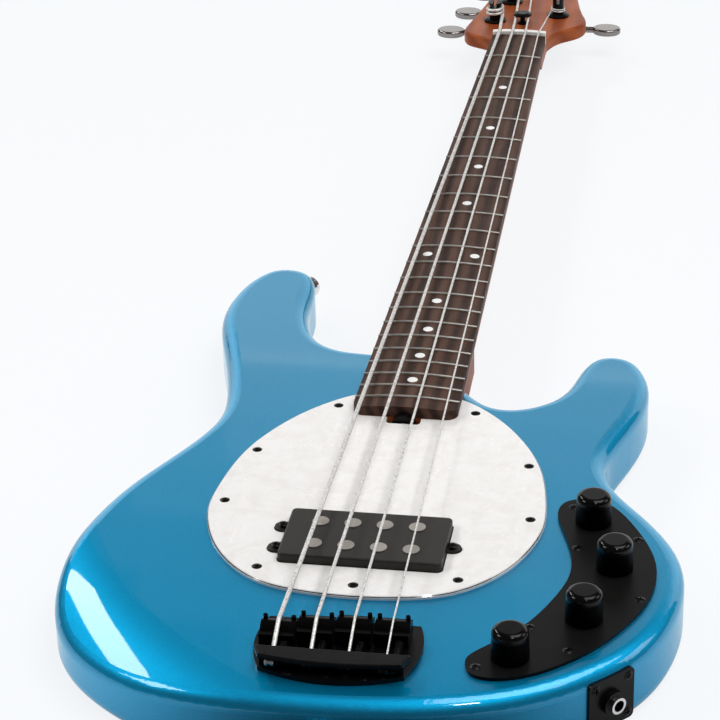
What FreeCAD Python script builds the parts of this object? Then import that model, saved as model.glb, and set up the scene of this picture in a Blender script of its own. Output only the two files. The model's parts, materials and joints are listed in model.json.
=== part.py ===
import FreeCAD, Part
import math
import os
from FreeCAD import Vector

os.makedirs("parts", exist_ok=True)

# A four-string electric bass guitar, in millimetres, lying on its back.
# The origin is on the body's back, on the centreline, under the saddle line.
# X points to the treble side, Y to the headstock, Z up from the back to the strings.

# Shared clearances and cutting room
cut_overrun = 5.0          # how far a cutting tool runs past the face that it cuts
seat_gap = 0.1             # still pieces that are seated in one another
thread_gap = 0.05          # round a screw in its hole
running_gap = 0.05         # round a shaft in its bearing
travel_gap = 0.4           # between bodies that pass each other

# Scale, fingerboard and frets
scale_length = 863.6
fret_count = 22
frets_per_octave = 12
nut_width = 43.0
heel_width = 64.0
board_overhang = 12.9      # last fret to the end of the board
board_radius = 241.0
board_thickness = 7.4
board_above_body = 10.0    # crown of the board above the body's top
board_corner = 7.0
fret_width = 2.0
fret_height = 1.0
tang_width = 0.6
tang_depth = 1.8
marker_radius = 3.2
marker_depth = 1.6
marker_frets = (3, 5, 7, 9, 12, 12, 15, 17, 19, 21)
octave_marker_x = 16.0     # the two dots at the octave stand this far off the centreline
nut_length = 5.0
nut_above_board = 2.6
nut_seat = 1.2             # how deep the nut sits in the neck

# Body
body_length = 504.0
body_width = 344.0
body_thickness = 41.0
tail_setback = 68.0        # saddle line to the tail
edge_round = 9.5
outline_pieces = 10        # edges that a smooth outline is cut into
forearm_reach = 45.0       # width of the forearm bevel, measured in from the edge
forearm_radius = 90.0      # round of the bevel's slope
forearm_sweep = 285.0      # round of the bevel's inner edge, seen from above
forearm_angle = 220.0      # degrees from X, the way the bevel faces
forearm_spread = 60.0      # degrees to each side of that, past where the bevel runs out
# Body outline, tail centre first and round by the treble side: X over the body's width, Y over its length
body_shares = (
    (-0.029, 0.000), (0.131, 0.008), (0.285, 0.038), (0.387, 0.085), (0.459, 0.139), (0.500, 0.206),
    (0.5145, 0.282), (0.497, 0.349), (0.445, 0.413), (0.3895, 0.466), (0.362, 0.522), (0.3735, 0.573),
    (0.4005, 0.635), (0.4155, 0.690), (0.4145, 0.734), (0.401, 0.766), (0.384, 0.786), (0.354, 0.796),
    (0.322, 0.793), (0.299, 0.778), (0.284, 0.747), (0.271, 0.709), (0.244, 0.673), (0.195, 0.6495),
    (0.145, 0.650), (0.097, 0.683), (0.032, 0.739), (-0.052, 0.766), (-0.131, 0.771), (-0.177, 0.782),
    (-0.218, 0.810), (-0.2495, 0.875), (-0.2535, 0.934), (-0.262, 0.973), (-0.281, 0.992),
    (-0.314, 0.9995), (-0.346, 0.995), (-0.3695, 0.980), (-0.391, 0.952), (-0.4055, 0.911),
    (-0.410, 0.865), (-0.398, 0.8115), (-0.363, 0.728), (-0.333, 0.627), (-0.343, 0.5575),
    (-0.3895, 0.482), (-0.442, 0.405), (-0.477, 0.317), (-0.4855, 0.250), (-0.474, 0.179),
    (-0.436, 0.119), (-0.369, 0.0695), (-0.276, 0.028), (-0.154, 0.004),
)

# Neck and headstock
heel_thickness = 18.6
heel_length = 97.0
heel_scoop = 28.0
shaft_side = 2.5           # straight side of the neck under the board
shaft_depth_heel = 15.6
shaft_depth_nut = 12.6
shaft_overlap = 30.0       # how far the shaft runs into the heel
headstock_width = 98.0
headstock_length = 208.4
headstock_drop = 9.0       # board crown down to the face of the headstock
headstock_thickness = 11.5
headstock_round = 2.5
nut_shelf = 8.0            # neck left at full height behind the scale's end
nut_ramp_radius = 12.0
# Headstock outline from the treble side of the nut round to the bass side
headstock_shares = (
    (0.214, -0.010), (0.238, 0.090), (0.330, 0.168), (0.450, 0.222), (0.500, 0.272), (0.464, 0.372),
    (0.398, 0.520), (0.337, 0.679), (0.265, 0.856), (0.143, 0.971), (0.000, 1.000), (-0.143, 0.971),
    (-0.265, 0.856), (-0.327, 0.693), (-0.383, 0.501), (-0.444, 0.328), (-0.490, 0.205), (-0.497, 0.147),
    (-0.462, 0.110), (-0.375, 0.082), (-0.262, 0.048), (-0.214, -0.010),
)
truss_radius = 2.5
truss_axis_drop = 3.2      # rod axis under the board
truss_nut_gap = 14.0       # end of the rod short of the nut
wheel_radius = 7.2
wheel_length = 5.6
wheel_hole_radius = 0.9
wheel_hole_count = 6
wheel_slot_half = 10.4
wheel_slot_length = 7.6
wheel_slot_corner = 2.5
neck_plate_length = 40.0
neck_plate_width = 54.0
neck_plate_thickness = 3.5
neck_plate_corner = 5.0
neck_plate_start = 5.0     # board's end to the plate's edge
neck_bolt_radius = 2.4
neck_bolt_head_radius = 4.4
neck_bolt_head = 2.6
neck_bolt_inset = 7.0
neck_bolt_bite = 15.0      # thread in the heel

# Pickguard
guard_width_share = 0.558   # over the body's width
guard_length = 236.0
guard_start = 30.6         # saddle line to the near edge
guard_thickness = 2.4
guard_bevel = 1.0
# Half of the guard's egg from the tail side up
guard_shares = (
    (0.000, 0.000), (0.188, 0.017), (0.300, 0.055), (0.391, 0.125), (0.458, 0.218), (0.497, 0.328),
    (0.500, 0.421), (0.477, 0.569), (0.429, 0.697), (0.335, 0.832), (0.236, 0.918), (0.155, 0.963),
    (0.000, 1.000),
)
guard_screw_shares = (
    (0.219, 0.888), (0.421, 0.636), (0.458, 0.384), (0.290, 0.0975), (0.000, 0.0455), (-0.290, 0.0975),
    (-0.458, 0.384), (-0.421, 0.636), (-0.219, 0.888),
)

# Small wood screws with oval heads
small_head_radius = 2.9
small_head_height = 1.4
small_dome = 0.7
small_shank_radius = 1.5
small_length = 14.0
recess_width_share = 0.22  # cross recess over the head's radius
recess_reach_share = 0.62
recess_depth_share = 0.8   # of the head's height

# Pickup
pickup_length = 91.5       # across the strings
pickup_width = 50.0
pickup_centre_y = 84.5
pickup_height = 18.0
pickup_above_guard = 5.3
pickup_wall = 2.0
pickup_corner = 3.0
pickup_top_round = 1.2
pickup_opening_gap = 0.6
ear_radius = 4.7
ear_thickness = 4.0
ear_above_guard = 1.2
ear_reach = 3.0            # ear centre beyond the cover's end
ear_offset = 11.0          # the bass side's two ears from the pickup's middle
pole_radius = 4.7
pole_spacing = 18.2
pole_row_offset = 11.8
pole_above_cover = 0.4
coil_wall = 3.4
coil_height = 9.0
base_thickness = 2.0
pickup_screw_radius = 1.3
pickup_screw_head_radius = 2.9
pickup_screw_length = 22.0
sleeve_wall = 1.0
cavity_gap = 2.5           # pickup to the wall of its cavity
cavity_floor = 13.0        # wood left under the pickup
sleeve_length = 9.0
wire_channel_radius = 4.0

# Control plate, potentiometers and knobs
plate_width_share = 0.2703  # over the body's width
plate_length = 183.0
plate_start_share = 0.1994  # inner edge from the centreline, over the body's width
plate_start_y = 35.2       # tail end of the plate behind the saddle line
plate_thickness = 2.0
# Boomerang outline, tail tip first and round by the outer edge
plate_shares = (
    (0.220, 0.000), (0.400, 0.038), (0.557, 0.102), (0.711, 0.186), (0.849, 0.297), (0.954, 0.418),
    (0.999, 0.530), (0.994, 0.640), (0.938, 0.745), (0.833, 0.860), (0.704, 0.962), (0.580, 1.000),
    (0.450, 0.994), (0.381, 0.960), (0.366, 0.895), (0.420, 0.800), (0.486, 0.680), (0.500, 0.570),
    (0.460, 0.470), (0.350, 0.325), (0.225, 0.225), (0.075, 0.140), (0.006, 0.085), (0.030, 0.030),
    (0.090, 0.004),
)
knob_shares = ((0.588, 0.868), (0.753, 0.613), (0.623, 0.327), (0.250, 0.106))
plate_screw_shares = (
    (0.516, 0.711), (0.869, 0.782), (0.926, 0.450), (0.562, 0.160), (0.326, 0.267), (0.070, 0.048),
    (0.455, 0.950),
)
knob_names = ("bass", "mid", "treble", "volume")
knob_radius = 10.2
knob_top_radius = 9.7
knob_height = 17.8
knob_lift = 0.6
knob_top_round = 3.6
knob_hollow_radius = 7.6
knob_hollow_depth = 4.6
pot_shaft_radius = 3.0
pot_shaft_rise = 12.0      # shaft above the plate
pot_flange_radius = 4.2    # wiper end of the shaft in the case
pot_flange_length = 2.0
pot_case_radius = 8.5
pot_case_height = 10.0
pot_case_wall = 1.5
pot_bush_radius = 4.0
pot_bush_rise = 3.6
pot_nut_radius = 6.0
pot_nut_height = 2.0
cavity_radius = 12.5
control_floor = 6.0
circuit_length = 58.0
circuit_width = 20.0
circuit_thickness = 1.6

# Battery compartment in the back
battery_length = 48.5
battery_width = 26.5
battery_thick = 17.5
battery_count = 2
battery_gap = 0.6
box_wall = 1.8
box_flange = 4.0
box_flange_thickness = 1.2
box_centre_share = -0.244   # from the centreline, over the body's width
box_centre_y = 12.0
lid_thickness = 2.0
lid_gap = 0.4
lid_pin_radius = 1.2
lid_pin_length = 1.6

# Output jack in the side
jack_angle = -43.6         # degrees from X, the way the wall faces
jack_plate_side = 31.0
jack_plate_thickness = 3.0
jack_plate_corner = 3.0
jack_plate_inlay = 2.2     # depth of the flat seat in the wall
jack_height = 20.0
jack_hole_radius = 11.0
jack_hole_length = 48.0
jack_barrel_radius = 8.5
jack_barrel_length = 24.0
jack_bush_radius = 4.7
jack_bush_rise = 5.8       # bush in front of the plate
jack_bore_radius = 3.25
jack_bore_end = 2.0
jack_nut_radius = 7.0
jack_nut_height = 3.0
jack_screw_inset = 4.2

# Strap buttons
strap_radius = 7.5
strap_waist = 4.6
strap_height = 13.0
strap_rim = 2.6
strap_screw_radius = 1.9
strap_screw_head_radius = 3.4
strap_screw_head = 2.6
strap_screw_length = 30.0
strap_angles = (72.0, 272.2)   # degrees from X: the upper horn and the tail
strap_sides = (-1, 1)          # which side of the centreline each is sought on

# Bridge
string_spacing = 19.8      # at the saddles
bridge_base = 2.5
bridge_front = 6.0         # plate in front of the saddle line
bridge_shift = 1.8         # middle of the plate to the treble side of the strings' middle
bridge_half_front = 40.6
bridge_half_widest = 44.2
bridge_widest_y = 20.0     # behind the saddle line
bridge_half_rear = 38.4
bridge_rear_y = 41.0
bridge_tail_y = 50.0       # curved rear edge on the centreline
tail_wall_y = 39.5         # rear face of the tail wall, behind the saddle line
tail_wall = 3.5
lip_front_y = 34.0
lip_end_y = 43.0           # rear corners
lip_rear_y = 47.0          # bowed rear edge at its middle
lip_thickness = 2.4
lip_above_body = 11.4
lip_half = 41.6            # at the front edge
lip_half_rear = 37.6       # at the rear corners, and half of the tail wall
lip_corner = 1.2
lip_round = 0.9
string_hole_radius = 1.8
string_hole_height = 6.5   # above the body
ball_radius = 2.3
ball_length = 4.8
saddle_width = 18.6
saddle_rear = 9.0          # crest to the back of the block
saddle_front = 7.0
saddle_lift = 1.2          # block above the base plate
saddle_above_body = 15.1   # underside of a string on the centreline
crest_radius = 6.0
groove_extra = 0.5         # saddle shoulders above the string's underside
break_setbacks = (15.0, 12.5, 10.0, 7.5)
height_screw_radius = 1.25
height_screw_offset = 7.5
height_screw_rise = 1.6    # above the saddle's block
height_screw_ahead = 3.0   # in front of the crest
intonation_offset = 4.6    # screw beside its string, to the treble side
intonation_height = 6.2    # screw axis above the body
intonation_radius = 1.3
intonation_head_radius = 2.2
intonation_head = 2.4
spring_wire = 0.5
spring_coil_radius = 2.2
spring_pitch = 1.55
spring_gap = 0.5           # spring to the wall and to the saddle
bridge_front_screw_x = 30.0
bridge_front_screw_inset = 3.4
bridge_rear_screw_y = 44.4  # behind the saddle line

# Strings, bass to treble
string_names = ("e", "a", "d", "g")
string_diameters = (2.67, 2.16, 1.65, 1.14)
nut_spacing = 10.55
nut_string_lift = 1.7      # underside of a string over the board's crown at the nut
string_gap = 0.3           # string to what it rests on
string_bend = 6.0          # bend where a string leaves the tail wall
nut_bend = 9.0
retainer_bend = 14.0
string_turns = 2           # whole turns on each post, besides the run in
turn_gap = 0.6             # between two turns
turn_lead = 12.0           # run that blends into the first turn

# Tuners
post_shares = ((-0.265, 0.261), (-0.173, 0.482), (-0.087, 0.712), (0.255, 0.343))
button_sides = (-1, -1, -1, 1)
post_radius = 4.6
post_rise = 16.5           # above the headstock's face
post_slot = 2.9
post_slot_depth = 5.0
post_cap_radius = 5.6
post_cap_height = 1.6
bushing_flange_radius = 9.2
bushing_flange = 2.4
bushing_radius = 6.8
gear_radius = 12.3
gear_thickness = 4.6
gear_teeth = 20
gear_tooth_radius = 1.1
worm_offset = 18.0         # post axis to worm axis
worm_radius = 4.8
worm_length = 15.0
worm_shaft_radius = 2.6
worm_axis_drop = 6.9       # under the headstock's back
housing_thickness = 1.8
housing_half = 13.5        # housing each side of the post, along the worm
housing_ear = 3.0
housing_margin = 8.0
ear_wrap = 2.4             # metal round the worm shaft
button_start = 28.0        # post axis to the paddle
button_length = 23.2
button_width = 18.5
button_thickness = 5.6
button_round = 1.7
tuner_screw_radius = 1.2
tuner_screw_head_radius = 2.2
tuner_screw_length = 9.0
retainer_shares = (-0.0255, 0.242)
retainer_radius = 7.4
retainer_base_radius = 4.6
retainer_stem_radius = 2.0
retainer_height = 9.6
retainer_rim = 2.2
retainer_stud = 9.0

# Heights and places that follow from the sizes above
guard_width = body_width * guard_width_share
plate_width = body_width * plate_width_share
plate_start_x = body_width * plate_start_share
box_centre_x = body_width * box_centre_share
body_top = body_thickness
board_top = body_top + board_above_body
board_under = board_top - board_thickness
heel_bottom = board_under - heel_thickness
last_fret_y = scale_length / 2 ** (fret_count / frets_per_octave)
board_end_y = last_fret_y - board_overhang
heel_top_y = board_end_y + heel_length
tail_y = -tail_setback
headstock_face = board_top - headstock_drop
headstock_back = headstock_face - headstock_thickness
truss_z = board_under - truss_axis_drop
guard_top = body_top + guard_thickness
plate_top = body_top + plate_thickness
pickup_top = guard_top + pickup_above_guard
pickup_bottom = pickup_top - pickup_height
ear_top = guard_top + ear_above_guard
base_top = body_top + bridge_base
lip_top = body_top + lip_above_body
intonation_z = body_top + intonation_height
string_hole_z = body_top + string_hole_height
worm_z = headstock_back - worm_axis_drop
board_axis_z = board_top - board_radius
up = Vector(0, 0, 1)
along = Vector(0, 1, 0)
across = Vector(1, 0, 0)


def save(name, solids):
    shape = solids[0] if len(solids) == 1 else Part.makeCompound(solids)
    shape.exportStep(f"parts/{name}.step")


def block(x0, x1, y0, y1, z0, z1):
    return Part.makeBox(x1 - x0, y1 - y0, z1 - z0, Vector(x0, y0, z0))


def rod(radius, start, end):
    axis = end - start
    return Part.makeCylinder(radius, axis.Length, start, axis)


def joined(shapes):
    return one_solid(shapes[0].fuse(shapes[1:]).removeSplitter())


def one_solid(shape):
    return shape.Solids[0] if len(shape.Solids) == 1 else shape


def prism(wire, z0, z1):
    face = Part.Face(wire)
    face.translate(up * (z0 - wire.BoundBox.ZMin))
    return face.extrude(up * (z1 - z0))


def loop(points):
    # Smooth closed curve past the points: each pole stands a sixth of its bend outside its point
    poles = []
    for i, here in enumerate(points):
        bend = points[i - 1] + points[(i + 1) % len(points)] - here * 2
        poles.append(here - bend / 6)
    curve = Part.BSplineCurve()
    curve.buildFromPoles(poles, True, 3)
    first = curve.FirstParameter
    step = (curve.LastParameter - first) / outline_pieces
    edges = []
    for i in range(outline_pieces):
        piece = curve.copy()
        piece.segment(first + step * i, first + step * (i + 1))
        edges.append(piece.toShape())
    return Part.Wire(edges)


def polygon(points):
    return Part.makePolygon(list(points) + [points[0]])


def upright_edges(shape):
    return [e for e in shape.Edges if abs(e.tangentAt(e.FirstParameter).z) > 0.5]


def rounded_block(half_x, half_y, corner, z0, z1):
    box = block(-half_x, half_x, -half_y, half_y, z0, z1)
    return box.makeFillet(corner, upright_edges(box))


def turned(points):
    # A solid of revolution about Z from half its section, points as (radius, height)
    section = polygon([Vector(r, 0, z) for r, z in points])
    return Part.Face(section).revolve(Vector(0, 0, 0), up, 360)


def ring(outer, inner, z0, z1):
    return turned([(inner, z0), (outer, z0), (outer, z1), (inner, z1)])


def aimed(shape, place, normal):
    # The shape, made on Z at the origin, set at a place with its Z along the normal
    sideways = up.cross(normal) if abs(normal.z) < 0.5 else across
    moved = shape.copy()
    turn = FreeCAD.Rotation(sideways, normal.cross(sideways), normal, "ZYX")
    moved.Placement = FreeCAD.Placement(place, turn)
    return moved


def at(shape, place):
    moved = shape.copy()
    moved.translate(place)
    return moved


def heading(degrees):
    turn = math.radians(degrees)
    return Vector(math.cos(turn), math.sin(turn), 0)


def level(point, z):
    return Vector(point.x, point.y, z)


# Places on the pieces
def neck_half(y):
    share = (y - board_end_y) / (scale_length - board_end_y)
    return (heel_width + (nut_width - heel_width) * share) / 2


def fret_y(number):
    return scale_length / 2 ** (number / frets_per_octave)


def crown_drop(x):
    return board_radius - math.sqrt(board_radius ** 2 - x ** 2)


def body_point(share):
    return Vector(share[0] * body_width, tail_y + share[1] * body_length, 0)


def body_outline():
    return loop([body_point(s) for s in body_shares])


def outermost(angle, side):
    # The outline's furthest point in a direction, on one side of the centreline
    facing = heading(angle)
    points = body_outline().discretize(len(body_shares) ** 2)
    return max([p for p in points if p.x * side >= 0], key=lambda p: p.dot(facing))


def headstock_point(share):
    return Vector(share[0] * headstock_width, scale_length + share[1] * headstock_length, 0)


def guard_point(share):
    return Vector(share[0] * guard_width, guard_start + share[1] * guard_length, 0)


def plate_point(share):
    return Vector(plate_start_x + share[0] * plate_width, share[1] * plate_length - plate_start_y, 0)


def knob_places():
    return [plate_point(s) for s in knob_shares]


def post_places():
    return [headstock_point(s) for s in post_shares]


def ear_places():
    reach = pickup_length / 2 + ear_reach
    bass = [Vector(-reach, pickup_centre_y + ear_offset, 0), Vector(-reach, pickup_centre_y - ear_offset, 0)]
    return bass + [Vector(reach, pickup_centre_y, 0)]


def pole_places():
    places = []
    for row in (-1, 1):
        y = pickup_centre_y + row * pole_row_offset
        places += [Vector((i - 1.5) * pole_spacing, y, 0) for i in range(len(string_names))]
    return places


def string_x(i):
    return (i - 1.5) * string_spacing


def nut_x(i):
    return (i - 1.5) * nut_spacing


def crest_point(i):
    # Centre of string i over its saddle
    x = string_x(i)
    z = body_top + saddle_above_body - crown_drop(x) + string_diameters[i] / 2
    return Vector(x, -break_setbacks[i], z)


def nut_point(i):
    x = nut_x(i)
    z = board_top + nut_string_lift - crown_drop(x) + string_diameters[i] / 2
    return Vector(x, scale_length, z)


def anchor_point(i):
    # Centre of the ball end behind the tail wall
    return Vector(string_x(i), -(tail_wall_y + ball_radius + string_gap), string_hole_z)


def tail_bend(i):
    return Vector(string_x(i), -(tail_wall_y - tail_wall - string_bend / 2), string_hole_z)


def intonation_x(i):
    return string_x(i) + intonation_offset


# Screws
def screw(head_radius, head_height, dome, shank_radius, length):
    # Oval head with a cross recess. Its rim is at zero height and the shank runs down.
    shoulder_share = 0.7
    bulge_share = 0.55
    rim = Vector(head_radius, 0, 0)
    crown = Vector(0, 0, dome)
    bulge = Vector(head_radius * shoulder_share, 0, dome * bulge_share)
    neck_end = Vector(shank_radius, 0, -head_height)
    taper = Vector(shank_radius, 0, shank_radius - length)
    tip = Vector(0, 0, -length)
    edges = [Part.Arc(crown, bulge, rim).toShape()]
    for a, b in ((rim, neck_end), (neck_end, taper), (taper, tip), (tip, crown)):
        edges.append(Part.makeLine(a, b))
    solid = Part.Face(Part.Wire(edges)).revolve(Vector(0, 0, 0), up, 360)
    half = head_radius * recess_width_share / 2
    reach = head_radius * recess_reach_share
    floor = dome - head_height * recess_depth_share
    slot = block(-half, half, -reach, reach, floor, dome * 2)
    cross_slot = block(-reach, reach, -half, half, floor, dome * 2)
    return one_solid(solid.cut([slot, cross_slot]))


def screw_hole(head_radius, head_height, shank_radius, length):
    # What a screw needs cut for it: its shank, its cone and the way in
    shank = shank_radius + thread_gap
    head = head_radius + thread_gap
    return turned([
        (0, cut_overrun), (head, cut_overrun), (head, 0),
        (shank, -head_height), (shank, -length), (0, -length),
    ])


def small_screw():
    return screw(small_head_radius, small_head_height, small_dome, small_shank_radius, small_length)


def small_hole():
    return screw_hole(small_head_radius, small_head_height, small_shank_radius, small_length)


def guard_screw_places():
    return [level(guard_point(s), guard_top) for s in guard_screw_shares]


def plate_screw_places():
    return [level(plate_point(s), plate_top) for s in plate_screw_shares]


def bridge_screw_places():
    # Two in front of the saddles, and three under the lip between the strings
    y = bridge_front - bridge_front_screw_inset
    front = [Vector(side * bridge_front_screw_x, y, base_top) for side in (-1, 1)]
    return front + [Vector(k * string_spacing, -bridge_rear_screw_y, base_top) for k in (-1, 0, 1)]


# Arcs, bends and turns for wire and string
def arc_edge(start, tangent, end):
    chord = end - start
    sideways = chord - tangent * chord.dot(tangent)
    if sideways.Length < chord.Length / 1e6:
        return Part.makeLine(start, end)
    radius = chord.dot(chord) / (2 * sideways.Length)
    centre = start + sideways * (radius / sideways.Length)
    outward = (start + end) / 2 - centre
    return Part.Arc(start, centre + outward * (radius / outward.Length), end).toShape()


def biarc(start, start_tangent, end, end_tangent):
    # Two arcs that leave one tangent and arrive on another
    span = end - start
    both = start_tangent + end_tangent
    spread = 2 * (1 - start_tangent.dot(end_tangent))
    reach = span.dot(both)
    if spread < 1e-9:
        handle = span.dot(span) / (2 * reach)
    else:
        handle = (math.sqrt(reach ** 2 + spread * span.dot(span)) - reach) / spread
    meeting = (start + end + (start_tangent - end_tangent) * handle) / 2
    return [arc_edge(start, start_tangent, meeting), arc_edge(end, -end_tangent, meeting)]


def bent_run(points, bends):
    # Straight runs with a tangent arc at each inner point
    edges = []
    here = points[0]
    for corner, before, after, bend in zip(points[1:], points, points[2:], bends):
        going = (corner - before).normalize()
        leaving = (after - corner).normalize()
        setback = bend * math.tan(going.getAngle(leaving) / 2)
        start = corner - going * setback
        end = corner + leaving * setback
        edges.append(Part.makeLine(here, start))
        edges.append(arc_edge(start, going, end))
        here = end
    edges.append(Part.makeLine(here, points[-1]))
    return edges


def turn_stations(centre, radius, pitch, start_angle, sense, quarters, axis, zero):
    # Points and tangents a quarter turn apart along a helix about an axis, angles counted from zero
    third = axis.cross(zero)
    stations = []
    for k in range(quarters + 1):
        angle = start_angle + sense * k * math.pi / 2
        out = zero * math.cos(angle) + third * math.sin(angle)
        round_way = (third * math.cos(angle) - zero * math.sin(angle)) * (sense * radius)
        tangent = (round_way + axis * (pitch / (2 * math.pi))).normalize()
        stations.append((centre + out * radius + axis * (pitch * k / 4), tangent))
    return stations


def turns(stations):
    edges = []
    for (a, a_way), (b, b_way) in zip(stations, stations[1:]):
        edges += biarc(a, a_way, b, b_way)
    return edges


def tube(edges, diameter, start, tangent):
    path = Part.Wire(edges)
    section = Part.Wire(Part.makeCircle(diameter / 2, start, tangent))
    return path.makePipeShell([section], True, False), path


def report_tube(name, solid, path, diameter):
    # Prints how close the tube comes to itself, and its volume against its section times its length
    points_per_diameter = 4
    nearest_diameters = 4
    furthest_diameters = 48
    points = path.discretize(int(path.Length / diameter * points_per_diameter))
    first = nearest_diameters * points_per_diameter
    last = furthest_diameters * points_per_diameter
    near = min(p.distanceToPoint(q) for i, p in enumerate(points) for q in points[i + first:i + last])
    plain = math.pi * diameter ** 2 / 4 * path.Length
    print(name, "least gap", round(near - diameter, 2), "volume over plain", round(solid.Volume / plain, 4))


# Body
def bevel_tool():
    # Ring piece with a round underside that starts level with the top and drops towards the edge
    facing = heading(forearm_angle)
    first = heading(forearm_angle - forearm_spread)
    axis = outermost(forearm_angle, -1) - facing * (forearm_sweep + forearm_reach)
    base = level(axis + first * forearm_sweep, body_top)
    beyond = forearm_reach + cut_overrun
    points = []
    for share in (0, 0.5, 1):
        out = beyond * share
        drop = forearm_radius - math.sqrt(forearm_radius ** 2 - out ** 2)
        points.append(base + first * out - up * drop)
    high = base + first * beyond + up * cut_overrun
    back = base + up * cut_overrun
    edges = [Part.Arc(*points).toShape()]
    for a, b in ((points[2], high), (high, back), (back, base)):
        edges.append(Part.makeLine(a, b))
    return Part.Face(Part.Wire(edges)).revolve(axis, up, forearm_spread * 2)


def is_rim(shape, edge):
    # True where an upright wall meets the top or the back
    walls = 0
    for face in shape.ancestorsOfType(edge, Part.Face):
        u0, u1, v0, v1 = face.ParameterRange
        if abs(face.normalAt((u0 + u1) / 2, (v0 + v1) / 2).z) < math.sin(math.radians(1)):
            walls += 1
    return walls == 1


def body_blank():
    blank = prism(body_outline(), 0, body_top).cut(bevel_tool())
    return blank.makeFillet(edge_round, [e for e in blank.Edges if is_rim(blank, e)])


def heel_plan(gap, y_end):
    half = neck_half(board_end_y) + gap
    half_end = neck_half(y_end) + gap
    y = board_end_y - gap
    near = [Vector(-half, y, 0), Vector(half, y, 0)]
    far = [Vector(half_end, y_end, 0), Vector(-half_end, y_end, 0)]
    return polygon(near + far)


def heel_block(gap, y_end, z0, z1):
    solid = prism(heel_plan(gap, y_end), z0, z1)
    corners = [e for e in upright_edges(solid) if e.CenterOfMass.y < board_end_y + board_corner]
    return solid.makeFillet(board_corner + gap, corners)


def wheel_slot(z0, z1):
    half_y = (wheel_slot_length + wheel_slot_corner) / 2
    slot = rounded_block(wheel_slot_half, half_y, wheel_slot_corner, z0, z1)
    return at(slot, Vector(0, board_end_y - wheel_slot_length + half_y, 0))


def pickup_shape(grow, z0, z1):
    half_x = pickup_length / 2 + grow
    half_y = pickup_width / 2 + grow
    return at(rounded_block(half_x, half_y, pickup_corner + grow, z0, z1), Vector(0, pickup_centre_y, 0))


def ear_shapes(grow, z0, z1):
    # Round lugs on short arms that reach into the cover's ends
    shapes = []
    for place in ear_places():
        inner = place.x - math.copysign(ear_radius + ear_reach, place.x)
        radius = ear_radius + grow
        lug = rod(radius, level(place, z0), level(place, z1))
        arm = block(min(inner, place.x), max(inner, place.x), place.y - radius, place.y + radius, z0, z1)
        shapes.append(lug.fuse(arm))
    return shapes


def control_cavity():
    places = knob_places()
    shapes = [rod(cavity_radius, level(p, control_floor), level(p, body_top + cut_overrun)) for p in places]
    for a, b in zip(places, places[1:]):
        run = b - a
        side = Vector(-run.y, run.x, 0).normalize() * cavity_radius
        trench = polygon([a + side, b + side, b - side, a - side])
        shapes.append(prism(trench, control_floor, body_top + cut_overrun))
    return shapes[0].fuse(shapes[1:])


def battery_half():
    half_x = battery_length / 2 + battery_gap + box_wall
    half_y = battery_count * (battery_width + battery_gap) / 2 + battery_gap + box_wall
    return half_x, half_y


def battery_depth():
    return lid_gap + lid_thickness + battery_gap + battery_thick + battery_gap + box_wall


def battery_cavity():
    half_x = battery_half()[0] + seat_gap
    half_y = battery_half()[1] + seat_gap
    pocket = block(-half_x, half_x, -half_y, half_y, -cut_overrun, battery_depth() + seat_gap)
    rim_x = half_x + box_flange
    rim_y = half_y + box_flange
    rim = block(-rim_x, rim_x, -rim_y, rim_y, -cut_overrun, box_flange_thickness)
    return at(pocket.fuse(rim), Vector(box_centre_x, box_centre_y, 0))


def jack_seat():
    # Middle of the jack plate's back, on the flat cut in the wall
    return level(outermost(jack_angle, 1), jack_height) - heading(jack_angle) * jack_plate_inlay


def jack_cuts():
    normal = heading(jack_angle)
    half = jack_plate_side / 2 + seat_gap
    pocket = rounded_block(half, half, jack_plate_corner, 0, jack_plate_inlay + cut_overrun)
    bore = Part.makeCylinder(jack_hole_radius, jack_hole_length, Vector(0, 0, -jack_hole_length))
    return [aimed(pocket, jack_seat(), normal), aimed(bore, jack_seat(), normal)]


def jack_screw_places():
    inset = jack_plate_side / 2 - jack_screw_inset
    normal = heading(jack_angle)
    sideways = up.cross(normal)
    face = jack_seat() + normal * jack_plate_thickness
    return [face + sideways * (inset * a) + up * (inset * b) for a in (-1, 1) for b in (-1, 1)]


def strap_places():
    places = [outermost(a, s) for a, s in zip(strap_angles, strap_sides)]
    return [(level(p, body_thickness / 2), heading(a)) for p, a in zip(places, strap_angles)]


def neck_bolt_places():
    y0 = board_end_y + neck_plate_start + neck_bolt_inset
    y1 = board_end_y + neck_plate_start + neck_plate_length - neck_bolt_inset
    x = neck_plate_width / 2 - neck_bolt_inset
    return [Vector(side * x, y, small_dome) for y in (y0, y1) for side in (-1, 1)]


def neck_plate_block(grow):
    half_x = neck_plate_width / 2 + grow
    half_y = neck_plate_length / 2 + grow
    centre = Vector(0, board_end_y + neck_plate_start + neck_plate_length / 2, 0)
    return at(rounded_block(half_x, half_y, neck_plate_corner, 0, neck_plate_thickness), centre)


def neck_bolt_length():
    return heel_bottom + neck_bolt_bite


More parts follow.
